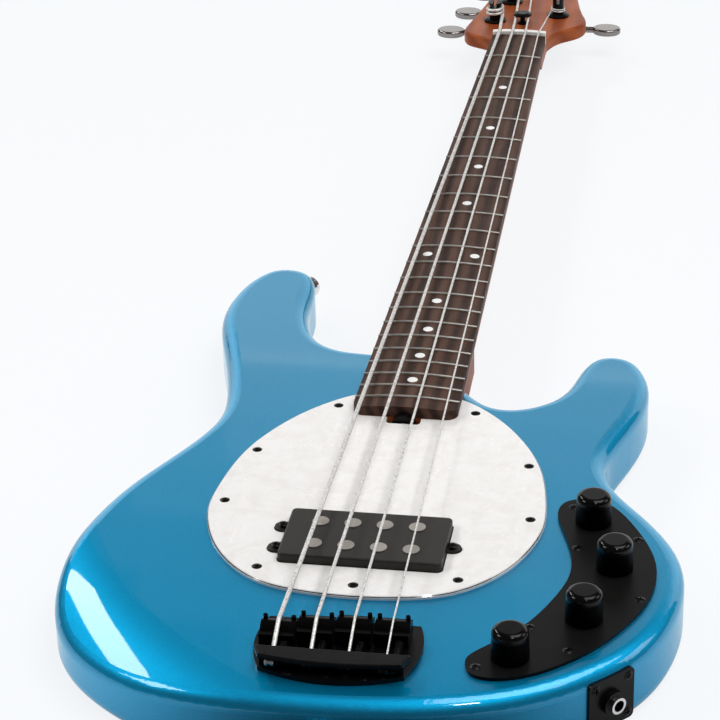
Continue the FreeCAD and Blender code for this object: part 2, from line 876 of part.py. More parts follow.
def body():
    high = body_top + cut_overrun
    sleeve_floor = ear_top - ear_thickness - sleeve_length
    cuts = [
        heel_block(seat_gap, heel_top_y + headstock_length, heel_bottom, board_top),
        wheel_slot(truss_z - wheel_radius - travel_gap, high),
        pickup_shape(cavity_gap, cavity_floor, high),
        control_cavity(),
        battery_cavity(),
        neck_plate_block(seat_gap),
    ]
    cuts += ear_shapes(cavity_gap, sleeve_floor, high)
    cuts += jack_cuts()
    channel_z = cavity_floor + wire_channel_radius * 2
    middle = Vector(0, pickup_centre_y, channel_z)
    cuts.append(rod(wire_channel_radius, middle, level(knob_places()[1], channel_z)))
    cuts.append(rod(wire_channel_radius, middle, Vector(box_centre_x, box_centre_y, channel_z)))
    top_screws = guard_screw_places() + plate_screw_places() + bridge_screw_places()
    cuts += [at(small_hole(), p) for p in top_screws]
    cuts += [aimed(small_hole(), p, heading(jack_angle)) for p in jack_screw_places()]
    for place in ear_places():
        hole_end = ear_top - pickup_screw_length - cut_overrun
        cuts.append(rod(pickup_screw_radius + travel_gap, level(place, hole_end), level(place, ear_top)))
    for place, normal in strap_places():
        hole = Part.makeCylinder(strap_screw_radius + thread_gap, strap_screw_length + cut_overrun)
        cuts.append(aimed(hole, place + normal * cut_overrun, -normal))
    for place in neck_bolt_places():
        cuts.append(rod(neck_bolt_radius + thread_gap, place, level(place, high)))
    return one_solid(body_blank().cut(cuts))


# Neck
def neck_section(y, depth):
    half = neck_half(y)
    top = board_under
    right = Vector(half, y, top)
    left = Vector(-half, y, top)
    right_low = right - up * shaft_side
    left_low = left - up * shaft_side
    edges = [
        Part.makeLine(left, right),
        Part.makeLine(right, right_low),
        Part.Arc(right_low, Vector(0, y, top - depth), left_low).toShape(),
        Part.makeLine(left_low, left),
    ]
    return Part.Wire(edges)


def headstock():
    curve = Part.BSplineCurve()
    curve.interpolate(Points=[headstock_point(s) for s in headstock_shares])
    rim = curve.toShape()
    closing = Part.makeLine(rim.valueAt(rim.LastParameter), rim.valueAt(rim.FirstParameter))
    slab = prism(Part.Wire([rim, closing]), headstock_back, headstock_face)
    edges = [e for e in slab.Edges if e.Length > headstock_length]
    return slab.makeFillet(headstock_round, edges)


def nut_shelf_block():
    # Full-height end of the neck under the nut, which curves down to the headstock's face
    y0 = scale_length - shaft_overlap
    y1 = scale_length + nut_shelf
    half = neck_half(scale_length)
    ramp_end = y1 + nut_ramp_radius
    shelf = block(-half, half, y0, ramp_end, headstock_back + shaft_side, board_under)
    ramp = rod(nut_ramp_radius, Vector(-headstock_width, ramp_end, headstock_face + nut_ramp_radius),
               Vector(headstock_width, ramp_end, headstock_face + nut_ramp_radius))
    return shelf.cut(ramp)


def neck():
    heel = heel_block(0, heel_top_y, heel_bottom, board_under)
    shaft_bottom = board_under - shaft_depth_heel
    scoop_at = Vector(-heel_width, heel_top_y + heel_scoop / 2, shaft_bottom - heel_scoop)
    heel = heel.cut(rod(heel_scoop, scoop_at, scoop_at + across * (heel_width * 2)))
    shaft_start = heel_top_y - shaft_overlap
    sections = [neck_section(shaft_start, shaft_depth_heel), neck_section(scale_length, shaft_depth_nut)]
    shaft = Part.makeLoft(sections, True, True)
    solid = joined([heel, shaft, nut_shelf_block(), headstock()])
    rod_start = Vector(0, board_end_y - cut_overrun, truss_z)
    rod_end = Vector(0, scale_length - truss_nut_gap + seat_gap, truss_z)
    cuts = [rod(truss_radius + seat_gap, rod_start, rod_end)]
    cuts.append(nut_blank(seat_gap))
    for place in neck_bolt_places():
        cuts.append(rod(neck_bolt_radius + thread_gap, place, place + up * neck_bolt_length()))
    for place in post_places():
        cuts.append(rod(bushing_radius + seat_gap, level(place, 0), level(place, board_top)))
    for place in tuner_screw_places():
        cuts.append(rod(tuner_screw_radius + thread_gap, place, place + up * tuner_screw_length))
    stud = level(headstock_point(retainer_shares), headstock_face - retainer_stud)
    cuts.append(rod(retainer_stem_radius + thread_gap, stud, level(stud, board_top)))
    return one_solid(solid.cut(cuts))


def truss_rod():
    start = Vector(0, board_end_y - wheel_length, truss_z)
    return rod(truss_radius, start, Vector(0, scale_length - truss_nut_gap, truss_z))


def truss_wheel():
    # Nut turned with a pin, through holes in its rim
    front = Vector(0, board_end_y - wheel_length - travel_gap, truss_z)
    back = front + along * wheel_length
    solid = rod(wheel_radius, front, back)
    cuts = [rod(truss_radius + running_gap, front - along * cut_overrun, back + along * cut_overrun)]
    middle = (front + back) / 2
    for k in range(wheel_hole_count):
        turn = 2 * math.pi * k / wheel_hole_count
        out = Vector(math.sin(turn), 0, math.cos(turn))
        cuts.append(rod(wheel_hole_radius, middle, middle + out * (wheel_radius + cut_overrun)))
    return one_solid(solid.cut(cuts))


def neck_plate():
    hole = screw_hole(neck_bolt_head_radius, neck_bolt_head, neck_bolt_radius, neck_bolt_length())
    return one_solid(neck_plate_block(0).cut([aimed(hole, p, -up) for p in neck_bolt_places()]))


# Fingerboard
def crown_cylinder(rise):
    start = Vector(0, board_end_y - cut_overrun, board_axis_z)
    return rod(board_radius + rise, start, start + along * (scale_length + headstock_length))


def fret_ring(y, points):
    # A section in the plane of the centreline, swept round the board's radius from edge to edge
    reach = math.asin(neck_half(y) / board_radius)
    face = Part.Face(Part.Wire(points))
    axis_at = Vector(0, 0, board_axis_z)
    face.rotate(axis_at, along, -math.degrees(reach))
    return face.revolve(axis_at, along, 2 * math.degrees(reach))


def fret(number):
    y = fret_y(number)
    half = fret_width / 2
    tang = tang_width / 2
    left = Vector(0, y - half, board_top)
    right = Vector(0, y + half, board_top)
    corners = [right]
    corners.append(Vector(0, y + tang, board_top))
    corners.append(Vector(0, y + tang, board_top - tang_depth))
    corners.append(Vector(0, y - tang, board_top - tang_depth))
    corners.append(Vector(0, y - tang, board_top))
    corners.append(left)
    edges = [Part.Arc(left, Vector(0, y, board_top + fret_height), right).toShape()]
    edges += [Part.makeLine(a, b) for a, b in zip(corners, corners[1:])]
    return fret_ring(y, edges)


def fret_slot(number):
    y = fret_y(number)
    half = tang_width / 2
    low = board_top - tang_depth
    return block(-heel_width, heel_width, y - half, y + half, low - crown_drop(heel_width / 2), board_top)


def frets():
    return [fret(n + 1) for n in range(fret_count)]


def marker_places():
    places = []
    for i, number in enumerate(marker_frets):
        y = (fret_y(number) + fret_y(number - 1)) / 2
        twins = marker_frets.count(number) - 1
        side = 1 if marker_frets.index(number) == i else -1
        places.append(Vector(side * twins * octave_marker_x, y, board_top - marker_depth))
    return places


def position_markers():
    crown = crown_cylinder(0)
    discs = [rod(marker_radius, p - up * crown_drop(p.x), level(p, board_top)) for p in marker_places()]
    return [one_solid(d.common(crown)) for d in discs]


def fingerboard():
    blank = heel_block(0, scale_length, board_under, board_top).common(crown_cylinder(0))
    cuts = [fret_slot(n + 1) for n in range(fret_count)]
    pocket = marker_radius + seat_gap
    cuts += [rod(pocket, p - up * crown_drop(p.x), level(p, board_top)) for p in marker_places()]
    return one_solid(blank.cut(cuts))


def nut_blank(gap):
    half = nut_width / 2 + gap
    y0 = scale_length - gap
    y1 = scale_length + nut_length + gap
    return block(-half, half, y0, y1, board_under - nut_seat, board_top + nut_above_board)


def nut():
    shaped = nut_blank(0).common(crown_cylinder(nut_above_board))
    cuts = []
    for i in range(len(string_names)):
        cuts += groove(i, nut_point(i), crest_point(i), string_exit(i))
    return one_solid(shaped.cut(cuts))


def groove(i, corner, before, after):
    # Round-bottomed way for a string over a corner
    radius = string_diameters[i] / 2 + string_gap
    ways = [rod(radius, corner, corner + (p - corner).normalize() * saddle_width) for p in (before, after)]
    return ways + [Part.makeSphere(radius, corner)]


# Pickguard
def pickguard():
    half = [guard_point(s) for s in guard_shares]
    mirrored = [Vector(-p.x, p.y, 0) for p in reversed(half[1:-1])]
    blank = prism(loop(half + mirrored), body_top, guard_top)
    top_rim = [e for e in blank.Edges if e.BoundBox.ZMin > body_top]
    blank = blank.makeChamfer(guard_bevel, top_rim)
    low = body_top - cut_overrun
    cuts = [
        heel_block(seat_gap, heel_top_y, low, board_top),
        wheel_slot(low, board_top),
        pickup_shape(pickup_opening_gap, low, board_top),
    ]
    cuts += ear_shapes(pickup_opening_gap, low, board_top)
    cuts += [at(small_hole(), p) for p in guard_screw_places()]
    return one_solid(blank.cut(cuts))


# Pickup
def pickup_cover():
    shell = pickup_shape(0, pickup_bottom, pickup_top)
    top_rim = [e for e in shell.Edges if e.BoundBox.ZMin > pickup_top - pickup_wall]
    shell = shell.makeFillet(pickup_top_round, top_rim)
    ears = ear_shapes(0, ear_top - ear_thickness, ear_top)
    shell = joined([shell] + ears)
    cuts = [pickup_shape(-pickup_wall, pickup_bottom - cut_overrun, pickup_top - pickup_wall)]
    cuts += pole_holes()
    for p in ear_places():
        cuts.append(rod(pickup_screw_radius + thread_gap, level(p, pickup_bottom), level(p, pickup_top)))
    return one_solid(shell.cut(cuts))


def pickup_base():
    # Flatwork that closes the cover and carries the poles
    plate = pickup_shape(-pickup_wall - seat_gap, pickup_bottom, pickup_bottom + base_thickness)
    return one_solid(plate.cut(pole_holes()))


def pole_holes():
    high = pickup_top + cut_overrun
    return [rod(pole_radius + seat_gap, level(p, pickup_bottom), level(p, high)) for p in pole_places()]


def pole_pieces():
    top = pickup_top + pole_above_cover
    return [rod(pole_radius, level(p, pickup_bottom), level(p, top)) for p in pole_places()]


def pickup_coils():
    # One flat coil of fine wire round each row of poles
    z0 = pickup_bottom + base_thickness
    coils = []
    for row in (-1, 1):
        y = pickup_centre_y + row * pole_row_offset
        reach = 1.5 * pole_spacing
        inner = pole_radius + seat_gap
        outer = inner + coil_wall
        solids = []
        for radius in (outer, inner):
            ends = [rod(radius, Vector(x, y, z0), Vector(x, y, z0 + coil_height)) for x in (-reach, reach)]
            middle = block(-reach, reach, y - radius, y + radius, z0, z0 + coil_height)
            solids.append(joined([middle] + ends))
        coils.append(one_solid(solids[0].cut(solids[1])))
    return coils


def pickup_screws():
    radius = pickup_screw_head_radius
    made = screw(radius, small_head_height, small_dome, pickup_screw_radius, pickup_screw_length)
    return [at(made, level(p, ear_top + small_head_height)) for p in ear_places()]


def pickup_sleeves():
    inner = pickup_screw_radius + travel_gap
    z1 = ear_top - ear_thickness
    return [at(ring(inner + sleeve_wall, inner, z1 - sleeve_length, z1), level(p, 0)) for p in ear_places()]


# Controls
def control_plate():
    blank = prism(loop([plate_point(s) for s in plate_shares]), body_top, plate_top)
    cuts = [at(small_hole(), p) for p in plate_screw_places()]
    for p in knob_places():
        cuts.append(rod(pot_bush_radius + seat_gap, level(p, 0), level(p, board_top)))
    return one_solid(blank.cut(cuts))


def knob():
    base = knob_lift
    bore = pot_shaft_radius + thread_gap
    top = base + knob_height
    blank = turned([(0, base), (knob_radius, base), (knob_top_radius, top), (0, top)])
    rim = [e for e in blank.Edges if e.BoundBox.ZMin > base + knob_height / 2]
    blank = blank.makeFillet(knob_top_round, rim)
    hollow = Part.makeCylinder(knob_hollow_radius, knob_hollow_depth, Vector(0, 0, base))
    hole = Part.makeCylinder(bore, pot_shaft_rise + seat_gap)
    return one_solid(blank.cut([hollow, hole]))


def pot_shaft():
    # Turning shaft with the wiper's disc at its lower end
    low = -plate_thickness - pot_case_height + pot_case_wall + travel_gap
    shaft = Part.makeCylinder(pot_shaft_radius, pot_shaft_rise - low, Vector(0, 0, low))
    wiper = Part.makeCylinder(pot_flange_radius, pot_flange_length, Vector(0, 0, low))
    return joined([shaft, wiper])


def potentiometer():
    # Round case under the plate with the threaded bush that holds it
    top = -plate_thickness
    bottom = top - pot_case_height
    bore = pot_shaft_radius + running_gap
    case = Part.makeCylinder(pot_case_radius, pot_case_height, Vector(0, 0, bottom))
    bush = Part.makeCylinder(pot_bush_radius, pot_bush_rise - top, Vector(0, 0, top))
    inside = Part.makeCylinder(pot_case_radius - pot_case_wall, pot_case_height - 2 * pot_case_wall,
                               Vector(0, 0, bottom + pot_case_wall))
    way = Part.makeCylinder(bore, pot_bush_rise - top + pot_case_wall, Vector(0, 0, top - pot_case_wall))
    return one_solid(joined([case, bush]).cut([inside, way]))


def pot_nut():
    return ring(pot_nut_radius, pot_bush_radius + thread_gap, 0, pot_nut_height)


def potentiometers():
    places = [level(p, plate_top) for p in knob_places()]
    return [at(potentiometer(), p) for p in places] + [at(pot_nut(), p) for p in places]


def preamp_board():
    # Circuit board soldered under the two middle potentiometers
    a, b = knob_places()[1:3]
    top = plate_top - plate_thickness - pot_case_height
    half_x = circuit_length / 2
    half_y = circuit_width / 2
    board = block(-half_x, half_x, -half_y, half_y, -circuit_thickness, 0)
    board.rotate(Vector(0, 0, 0), up, math.degrees(math.atan2(b.y - a.y, b.x - a.x)))
    return at(board, level((a + b) / 2, top))


# Battery compartment
def battery_box():
    half_x, half_y = battery_half()
    depth = battery_depth()
    shell = block(-half_x, half_x, -half_y, half_y, 0, depth)
    rim_x = half_x + box_flange
    rim_y = half_y + box_flange
    flange = block(-rim_x, rim_x, -rim_y, rim_y, 0, box_flange_thickness)
    room_x = half_x - box_wall
    room_y = half_y - box_wall
    inside = block(-room_x, room_x, -room_y, room_y, -cut_overrun, depth - box_wall)
    solid = joined([shell, flange]).cut(inside)
    pivot = lid_pivot()
    sockets = rod(lid_pin_radius + running_gap, pivot - along * half_y, pivot + along * half_y)
    return at(one_solid(solid.cut(sockets)), Vector(box_centre_x, box_centre_y, 0))


def lid_pivot():
    half_x = battery_half()[0]
    return Vector(half_x - box_wall - lid_gap - lid_thickness / 2, 0, lid_gap + lid_thickness / 2)


def battery_lid():
    half_x, half_y = battery_half()
    pivot = lid_pivot()
    inner_y = half_y - box_wall - lid_gap
    plate = block(-half_x + box_wall + lid_gap, pivot.x, -inner_y, inner_y, lid_gap, lid_gap + lid_thickness)
    barrel = rod(lid_thickness / 2, pivot - along * inner_y, pivot + along * inner_y)
    pin_end = along * (inner_y + lid_pin_length)
    pins = rod(lid_pin_radius, pivot - pin_end, pivot + pin_end)
    return at(joined([plate, barrel, pins]), Vector(box_centre_x, box_centre_y, 0))


def batteries():
    low = lid_gap + lid_thickness + battery_gap
    step = battery_width + battery_gap
    half_x = battery_length / 2
    half_y = battery_width / 2
    cell = block(-half_x, half_x, -half_y, half_y, low, low + battery_thick + battery_gap)
    rows = [(i - (battery_count - 1) / 2) * step for i in range(battery_count)]
    return [at(cell, Vector(box_centre_x, box_centre_y + row, 0)) for row in rows]


# Output jack
def jack_plate():
    half = jack_plate_side / 2
    plate = rounded_block(half, half, jack_plate_corner, 0, jack_plate_thickness)
    bore = Part.makeCylinder(jack_bush_radius + seat_gap, jack_plate_thickness)
    normal = heading(jack_angle)
    placed = aimed(plate.cut(bore), jack_seat(), normal)
    return one_solid(placed.cut([aimed(small_hole(), p, normal) for p in jack_screw_places()]))


def output_jack():
    barrel = Part.makeCylinder(jack_barrel_radius, jack_barrel_length, Vector(0, 0, -jack_barrel_length))
    bush = Part.makeCylinder(jack_bush_radius, jack_plate_thickness + jack_bush_rise)
    depth = jack_barrel_length - jack_bore_end
    length = depth + jack_plate_thickness + jack_bush_rise
    bore = Part.makeCylinder(jack_bore_radius, length, Vector(0, 0, -depth))
    return aimed(one_solid(joined([barrel, bush]).cut(bore)), jack_seat(), heading(jack_angle))


def jack_nut():
    nut_ring = ring(jack_nut_radius, jack_bush_radius + thread_gap, jack_plate_thickness,
                    jack_plate_thickness + jack_nut_height)
    return aimed(nut_ring, jack_seat(), heading(jack_angle))


# Strap buttons
def strap_button():
    bore = strap_screw_radius + thread_gap
    sink = strap_screw_head_radius + thread_gap
    top = strap_height
    return turned([
        (bore, 0), (strap_radius, 0), (strap_waist, strap_rim), (strap_waist, top - strap_rim * 2),
        (strap_radius, top - strap_rim), (strap_radius, top), (sink, top), (bore, top - strap_screw_head),
    ])


def strap_buttons():
    return [aimed(strap_button(), place + normal * seat_gap, normal) for place, normal in strap_places()]


def strap_screws():
    radius = strap_screw_head_radius
    made = screw(radius, strap_screw_head, small_dome, strap_screw_radius, strap_screw_length)
    lift = seat_gap + strap_height
    return [aimed(made, place + normal * lift, normal) for place, normal in strap_places()]


# Bridge
def bridge_base_block():
    right = [Vector(bridge_half_front, bridge_front, 0), Vector(bridge_half_widest, -bridge_widest_y, 0),
             Vector(bridge_half_rear, -bridge_rear_y, 0)]
    left = [Vector(-p.x, p.y, 0) for p in right]
    outline = Part.Wire([
        Part.makeLine(left[0], right[0]),
        Part.Arc(*right).toShape(),
        Part.Arc(right[2], Vector(0, -bridge_tail_y, 0), left[2]).toShape(),
        Part.Arc(*reversed(left)).toShape(),
    ])
    return prism(outline, body_top, base_top)


def bridge_lip():
    # Straight front edge, slanted ends and a bowed rear edge
    front = [Vector(side * lip_half, -lip_front_y, 0) for side in (-1, 1)]
    rear = [Vector(side * lip_half_rear, -lip_end_y, 0) for side in (-1, 1)]
    outline = Part.Wire([
        Part.makeLine(front[0], front[1]),
        Part.makeLine(front[1], rear[1]),
        Part.Arc(rear[1], Vector(0, -lip_rear_y, 0), rear[0]).toShape(),
        Part.makeLine(rear[0], front[0]),
    ])
    lip = prism(outline, lip_top - lip_thickness, lip_top)
    lip = lip.makeFillet(lip_corner, upright_edges(lip))
    return lip.makeFillet(lip_round, [e for e in lip.Edges if e.BoundBox.ZMin > lip_top - lip_thickness])


def bridge_plate():
    wall_front = -(tail_wall_y - tail_wall)
    wall = block(-lip_half_rear, lip_half_rear, -tail_wall_y, wall_front, base_top, lip_top - lip_thickness)
    solid = at(joined([bridge_base_block(), wall, bridge_lip()]), across * bridge_shift)
    cuts = [at(small_hole(), p) for p in bridge_screw_places()]
    for i in range(len(string_names)):
        y0 = -tail_wall_y - cut_overrun
        hole = Vector(string_x(i), y0, string_hole_z)
        cuts.append(rod(string_hole_radius, hole, hole + along * (tail_wall + cut_overrun * 2)))
        hole = Vector(intonation_x(i), y0, intonation_z)
        cuts.append(rod(intonation_radius + running_gap, hole, hole + along * (tail_wall + cut_overrun * 2)))
    return one_solid(solid.cut(cuts))


def saddle_block_top(i):
    return crest_point(i).z - string_diameters[i] / 2 + groove_extra


def saddle(i):
    crest = crest_point(i)
    top = saddle_block_top(i)
    half = saddle_width / 2
    y0 = crest.y - saddle_rear
    y1 = crest.y + saddle_front
    shoulder = top - crest_radius / 2
    lower = block(crest.x - half, crest.x + half, y0, y1, base_top + saddle_lift, shoulder)
    barrel_z = top - crest_radius
    barrel_start = Vector(crest.x - half, crest.y, barrel_z)
    barrel = rod(crest_radius, barrel_start, barrel_start + across * saddle_width)
    barrel = barrel.common(block(crest.x - half, crest.x + half, y0, y1, base_top + saddle_lift, top))
    cuts = groove(i, crest, tail_bend(i), nut_point(i))
    screw_at = Vector(intonation_x(i), y0, intonation_z)
    way = along * (saddle_rear + saddle_front)
    cuts.append(rod(intonation_radius + running_gap, screw_at, screw_at + way))
    for place in height_screw_places(i):
        cuts.append(rod(height_screw_radius + thread_gap, place, level(place, top + cut_overrun)))
    return one_solid(joined([lower, barrel]).cut(cuts))


def height_screw_places(i):
    crest = crest_point(i)
    return [Vector(crest.x + side * height_screw_offset, crest.y + height_screw_ahead, base_top + travel_gap)
            for side in (-1, 1)]


def height_screws(i):
    top = saddle_block_top(i) + height_screw_rise
    socket = height_screw_radius / 2
    solids = []
    for place in height_screw_places(i):
        pin = rod(height_screw_radius, place, level(place, top))
        key_way = rod(socket, level(place, top - height_screw_radius), level(place, top + cut_overrun))
        solids.append(one_solid(pin.cut(key_way)))
    return solids


def intonation_screws():
    solids = []
    for i in range(len(string_names)):
        back = Vector(intonation_x(i), -tail_wall_y - seat_gap, intonation_z)
        tip = Vector(intonation_x(i), crest_point(i).y + saddle_front, intonation_z)
        head = rod(intonation_head_radius, back - along * intonation_head, back)
        slot_half = intonation_head_radius * recess_width_share
        reach = intonation_head_radius
        slot = block(-reach, reach, -intonation_head, -intonation_head / 2, -slot_half, slot_half)
        made = joined([head, rod(intonation_radius, back, tip)])
        solids.append(one_solid(made.cut(at(slot, back))))
    return solids


def intonation_springs():
    solids = []
    for i in range(len(string_names)):
        start_y = -(tail_wall_y - tail_wall) + spring_gap + spring_wire / 2
        end_y = crest_point(i).y - saddle_rear - spring_gap - spring_wire / 2
        quarters = int(4 * (end_y - start_y) / spring_pitch)
        pitch = 4 * (end_y - start_y) / quarters
        centre = Vector(intonation_x(i), start_y, intonation_z)
        stations = turn_stations(centre, spring_coil_radius, pitch, 0, 1, quarters, along, across)
        first, first_way = stations[0]
        last, last_way = stations[-1]
        edges = [Part.makeLine(first - first_way * spring_wire, first)]
        edges += turns(stations)
        edges.append(Part.makeLine(last, last + last_way * spring_wire))
        solid, path = tube(edges, spring_wire, first - first_way * spring_wire, first_way)
        report_tube(f"intonation spring {string_names[i]}", solid, path, spring_wire)
        solids.append(solid)
    return solids


# Strings
def string_exit(i):
    # Where a string heads after the nut: under the retainer, or straight to its post
    post = post_places()[i]
    if i in (1, 2):
        y = headstock_point(retainer_shares).y - retainer_radius
        share = (y - scale_length) / (post.y - scale_length)
        x = nut_x(i) + (post.x + wrap_radius(i) - nut_x(i)) * share
        return Vector(x, y, retainer_underside() - string_gap - string_diameters[i] / 2)
    return first_turn(i)[0][0]


def retainer_underside():
    return headstock_face + retainer_height - retainer_rim


def wrap_radius(i):
    return post_radius + string_gap + string_diameters[i] / 2


def first_turn(i):
    # Stations of the turns on the post, from where the string first meets it
    post = post_places()[i]
    come_from = nut_point(i)
    if i in (1, 2):
        come_from = string_exit(i)
    radius = wrap_radius(i)
    sense = -button_sides[i]
    pitch = string_diameters[i] + turn_gap
    away = level(come_from - post, 0)
    angle = math.atan2(away.y, away.x) + sense * math.acos(radius / away.Length)
    low = headstock_face + bushing_flange + string_gap + string_diameters[i]
    centre = level(post, low)
    return turn_stations(centre, radius, pitch, angle, sense, 4 * string_turns + 1, up, across)


def string(i):
    diameter = string_diameters[i]
    stations = first_turn(i)
    start = anchor_point(i)
    points = [start, tail_bend(i), crest_point(i), nut_point(i)]
    bends = [string_bend, crest_radius + diameter / 2, nut_bend]
    if i in (1, 2):
        points.append(string_exit(i))
        bends.append(retainer_bend)
    first, first_way = stations[0]
    lead = first - (first - points[-1]).normalize() * turn_lead
    points.append(lead)
    edges = bent_run(points, bends)
    edges += biarc(lead, (lead - points[-2]).normalize(), first, first_way)
    edges += turns(stations)
    last, last_way = stations[-1]
    edges.append(Part.makeLine(last, last + last_way * diameter))
    solid, path = tube(edges, diameter, start, along)
    report_tube(f"string {string_names[i]}", solid, path, diameter)
    half = across * (ball_length / 2)
    return joined([solid, rod(ball_radius, start - half, start + half)])


# Tuners
def tuner_screw_places():
    places = []
    for post, side in zip(post_places(), button_sides):
        x_out = post.x + side * (housing_half - tuner_screw_head_radius)
        x_in = post.x - side * (housing_half - tuner_screw_head_radius)
        y = post.y - housing_margin - bushing_radius / 2
        places += [Vector(x_out, y, headstock_back), Vector(x_in, y, headstock_back)]
    return places


def tuner_screws():
    radius = tuner_screw_head_radius
    made = screw(radius, small_head_height, small_dome, tuner_screw_radius, tuner_screw_length)
    return [aimed(made, p - up * (housing_thickness + small_head_height), -up) for p in tuner_screw_places()]


def tuner_housing(post):
    # Plate on the headstock's back with two ears that carry the worm
    z1 = headstock_back
    z0 = z1 - housing_thickness
    y0 = post.y - housing_margin - bushing_radius
    y1 = post.y + worm_offset + worm_shaft_radius + ear_wrap
    plate = block(post.x - housing_half, post.x + housing_half, y0, y1, z0, z1)
    worm = Vector(post.x, post.y + worm_offset, worm_z)
    wrap = worm_shaft_radius + ear_wrap
    solids = [plate]
    for side in (-1, 1):
        x0 = post.x + side * housing_half
        x1 = x0 - side * housing_ear
        ear = block(min(x0, x1), max(x0, x1), worm.y - wrap, worm.y + wrap, worm_z, z0)
        solids += [ear, rod(wrap, Vector(x0, worm.y, worm_z), Vector(x1, worm.y, worm_z))]
    cuts = [rod(post_radius + running_gap, level(post, 0), level(post, board_top))]
    cuts.append(rod(worm_shaft_radius + running_gap, worm - across * heel_width, worm + across * heel_width))
    for p in tuner_screw_places():
        cuts.append(rod(tuner_screw_radius + thread_gap, level(p, 0), p))
    window_x = worm_length / 2 + travel_gap
    window_y = worm_radius + travel_gap
    cuts.append(block(post.x - window_x, post.x + window_x, worm.y - window_y, worm.y + window_y, z0, z1))
    return one_solid(joined(solids).cut(cuts))


def tuner_bushing():
    bore = post_radius + running_gap
    seat = headstock_thickness
    top = headstock_thickness + bushing_flange
    rim = bushing_flange_radius
    return turned([
        (bore, 0), (bushing_radius, 0), (bushing_radius, seat), (rim, seat), (rim, (seat + top) / 2),
        (rim - bushing_flange, top), (bore, top),
    ])


def tuner_post():
    # Slotted string post with its gear at the bottom
    top = headstock_face + post_rise
    gear_top = headstock_back - housing_thickness - travel_gap
    gear_bottom = gear_top - gear_thickness
    post = Part.makeCylinder(post_radius, top - gear_bottom, Vector(0, 0, gear_bottom))
    cap = Part.makeCylinder(post_cap_radius, post_cap_height, Vector(0, 0, top - post_cap_height))
    gear = Part.makeCylinder(gear_radius, gear_thickness, Vector(0, 0, gear_bottom))
    cuts = []
    for k in range(gear_teeth):
        turn = 2 * math.pi * k / gear_teeth
        root = Vector(math.cos(turn), math.sin(turn), 0) * gear_radius
        cuts.append(rod(gear_tooth_radius, level(root, gear_bottom), level(root, gear_top)))
    slot = block(-post_slot / 2, post_slot / 2, -heel_width, heel_width, top - post_slot_depth, top)
    return one_solid(joined([post, gear, cap]).cut(cuts + [slot]))


def tuner_button(post, side):
    # Paddle on the worm's shaft
    outward = across * side
    worm = Vector(post.x, post.y + worm_offset, worm_z)
    shaft_end = worm + outward * (button_start + button_thickness)
    shaft = rod(worm_shaft_radius, worm - outward * housing_half, shaft_end)
    spiral = rod(worm_radius, worm - outward * (worm_length / 2), worm + outward * (worm_length / 2))
    centre = worm + outward * (button_start + button_length / 2) - up * (button_thickness / 2)
    oval = Part.Ellipse(centre, button_length / 2, button_width / 2)
    paddle = Part.Face(Part.Wire(oval.toShape())).extrude(up * button_thickness)
    rims = [e for e in paddle.Edges if e.BoundBox.ZLength < button_thickness / 2]
    paddle = paddle.makeFillet(button_round, rims)
    return joined([shaft, spiral, paddle])


def string_retainer():
    stem = retainer_stem_radius
    foot = retainer_base_radius
    under = retainer_height - retainer_rim
    made = turned([
        (0, -retainer_stud), (stem, -retainer_stud), (stem, 0), (foot, 0), (foot, retainer_rim / 2),
        (stem, retainer_rim), (stem, under), (retainer_radius, under),
        (retainer_radius, under + retainer_rim / 2), (foot, retainer_height), (0, retainer_height),
    ])
    return at(made, level(headstock_point(retainer_shares), headstock_face))


def neck_bolts():
    made = screw(neck_bolt_head_radius, neck_bolt_head, small_dome, neck_bolt_radius, neck_bolt_length())
    return [aimed(made, p, -up) for p in neck_bolt_places()]


def main():
    save("body", [body()])
    save("neck", [neck()])
    save("fingerboard", [fingerboard()])
    save("frets", frets())
    save("position_markers", position_markers())
    save("nut", [nut()])
    save("truss_rod", [truss_rod()])
    save("truss_rod_wheel", [truss_wheel()])
    save("neck_plate", [neck_plate()])
    save("neck_bolts", neck_bolts())
    save("pickguard", [pickguard()])
    save("pickguard_screws", [at(small_screw(), p) for p in guard_screw_places()])
    save("pickup_cover", [pickup_cover()])
    save("pickup_base", [pickup_base()])
    save("pickup_pole_pieces", pole_pieces())
    save("pickup_coils", pickup_coils())
    save("pickup_screws", pickup_screws())
    save("pickup_sleeves", pickup_sleeves())
    save("control_plate", [control_plate()])
    save("control_plate_screws", [at(small_screw(), p) for p in plate_screw_places()])
    for name, place in zip(knob_names, knob_places()):
        save(f"knob_{name}", [at(knob(), level(place, plate_top))])
        save(f"pot_shaft_{name}", [at(pot_shaft(), level(place, plate_top))])
    save("potentiometers", potentiometers())
    save("preamp_board", [preamp_board()])
    save("battery_box", [battery_box()])
    save("battery_lid", [battery_lid()])
    save("batteries", batteries())
    save("jack_plate", [jack_plate()])
    save("jack_plate_screws", [aimed(small_screw(), p, heading(jack_angle)) for p in jack_screw_places()])
    save("output_jack", [output_jack()])
    save("jack_nut", [jack_nut()])
    save("strap_buttons", strap_buttons())
    save("strap_button_screws", strap_screws())
    save("bridge_plate", [bridge_plate()])
    save("bridge_screws", [at(small_screw(), p) for p in bridge_screw_places()])
    for i, name in enumerate(string_names):
        save(f"saddle_{name}", [saddle(i)] + height_screws(i))
    save("intonation_screws", intonation_screws())
    save("intonation_springs", intonation_springs())
    save("strings", [string(i) for i in range(len(string_names))])
    for name, place, side in zip(string_names, post_places(), button_sides):
        save(f"tuner_post_{name}", [at(tuner_post(), level(place, 0))])
        save(f"tuner_button_{name}", [tuner_button(place, side)])
    save("tuner_housings", [tuner_housing(p) for p in post_places()])
    save("tuner_bushings", [at(tuner_bushing(), level(p, headstock_back)) for p in post_places()])
    save("tuner_screws", tuner_screws())
    save("string_retainer", [string_retainer()])


if __name__ == "__main__":
    main()
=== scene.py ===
import json
import math

import bmesh
import bpy
from mathutils import Matrix, Quaternion, Vector


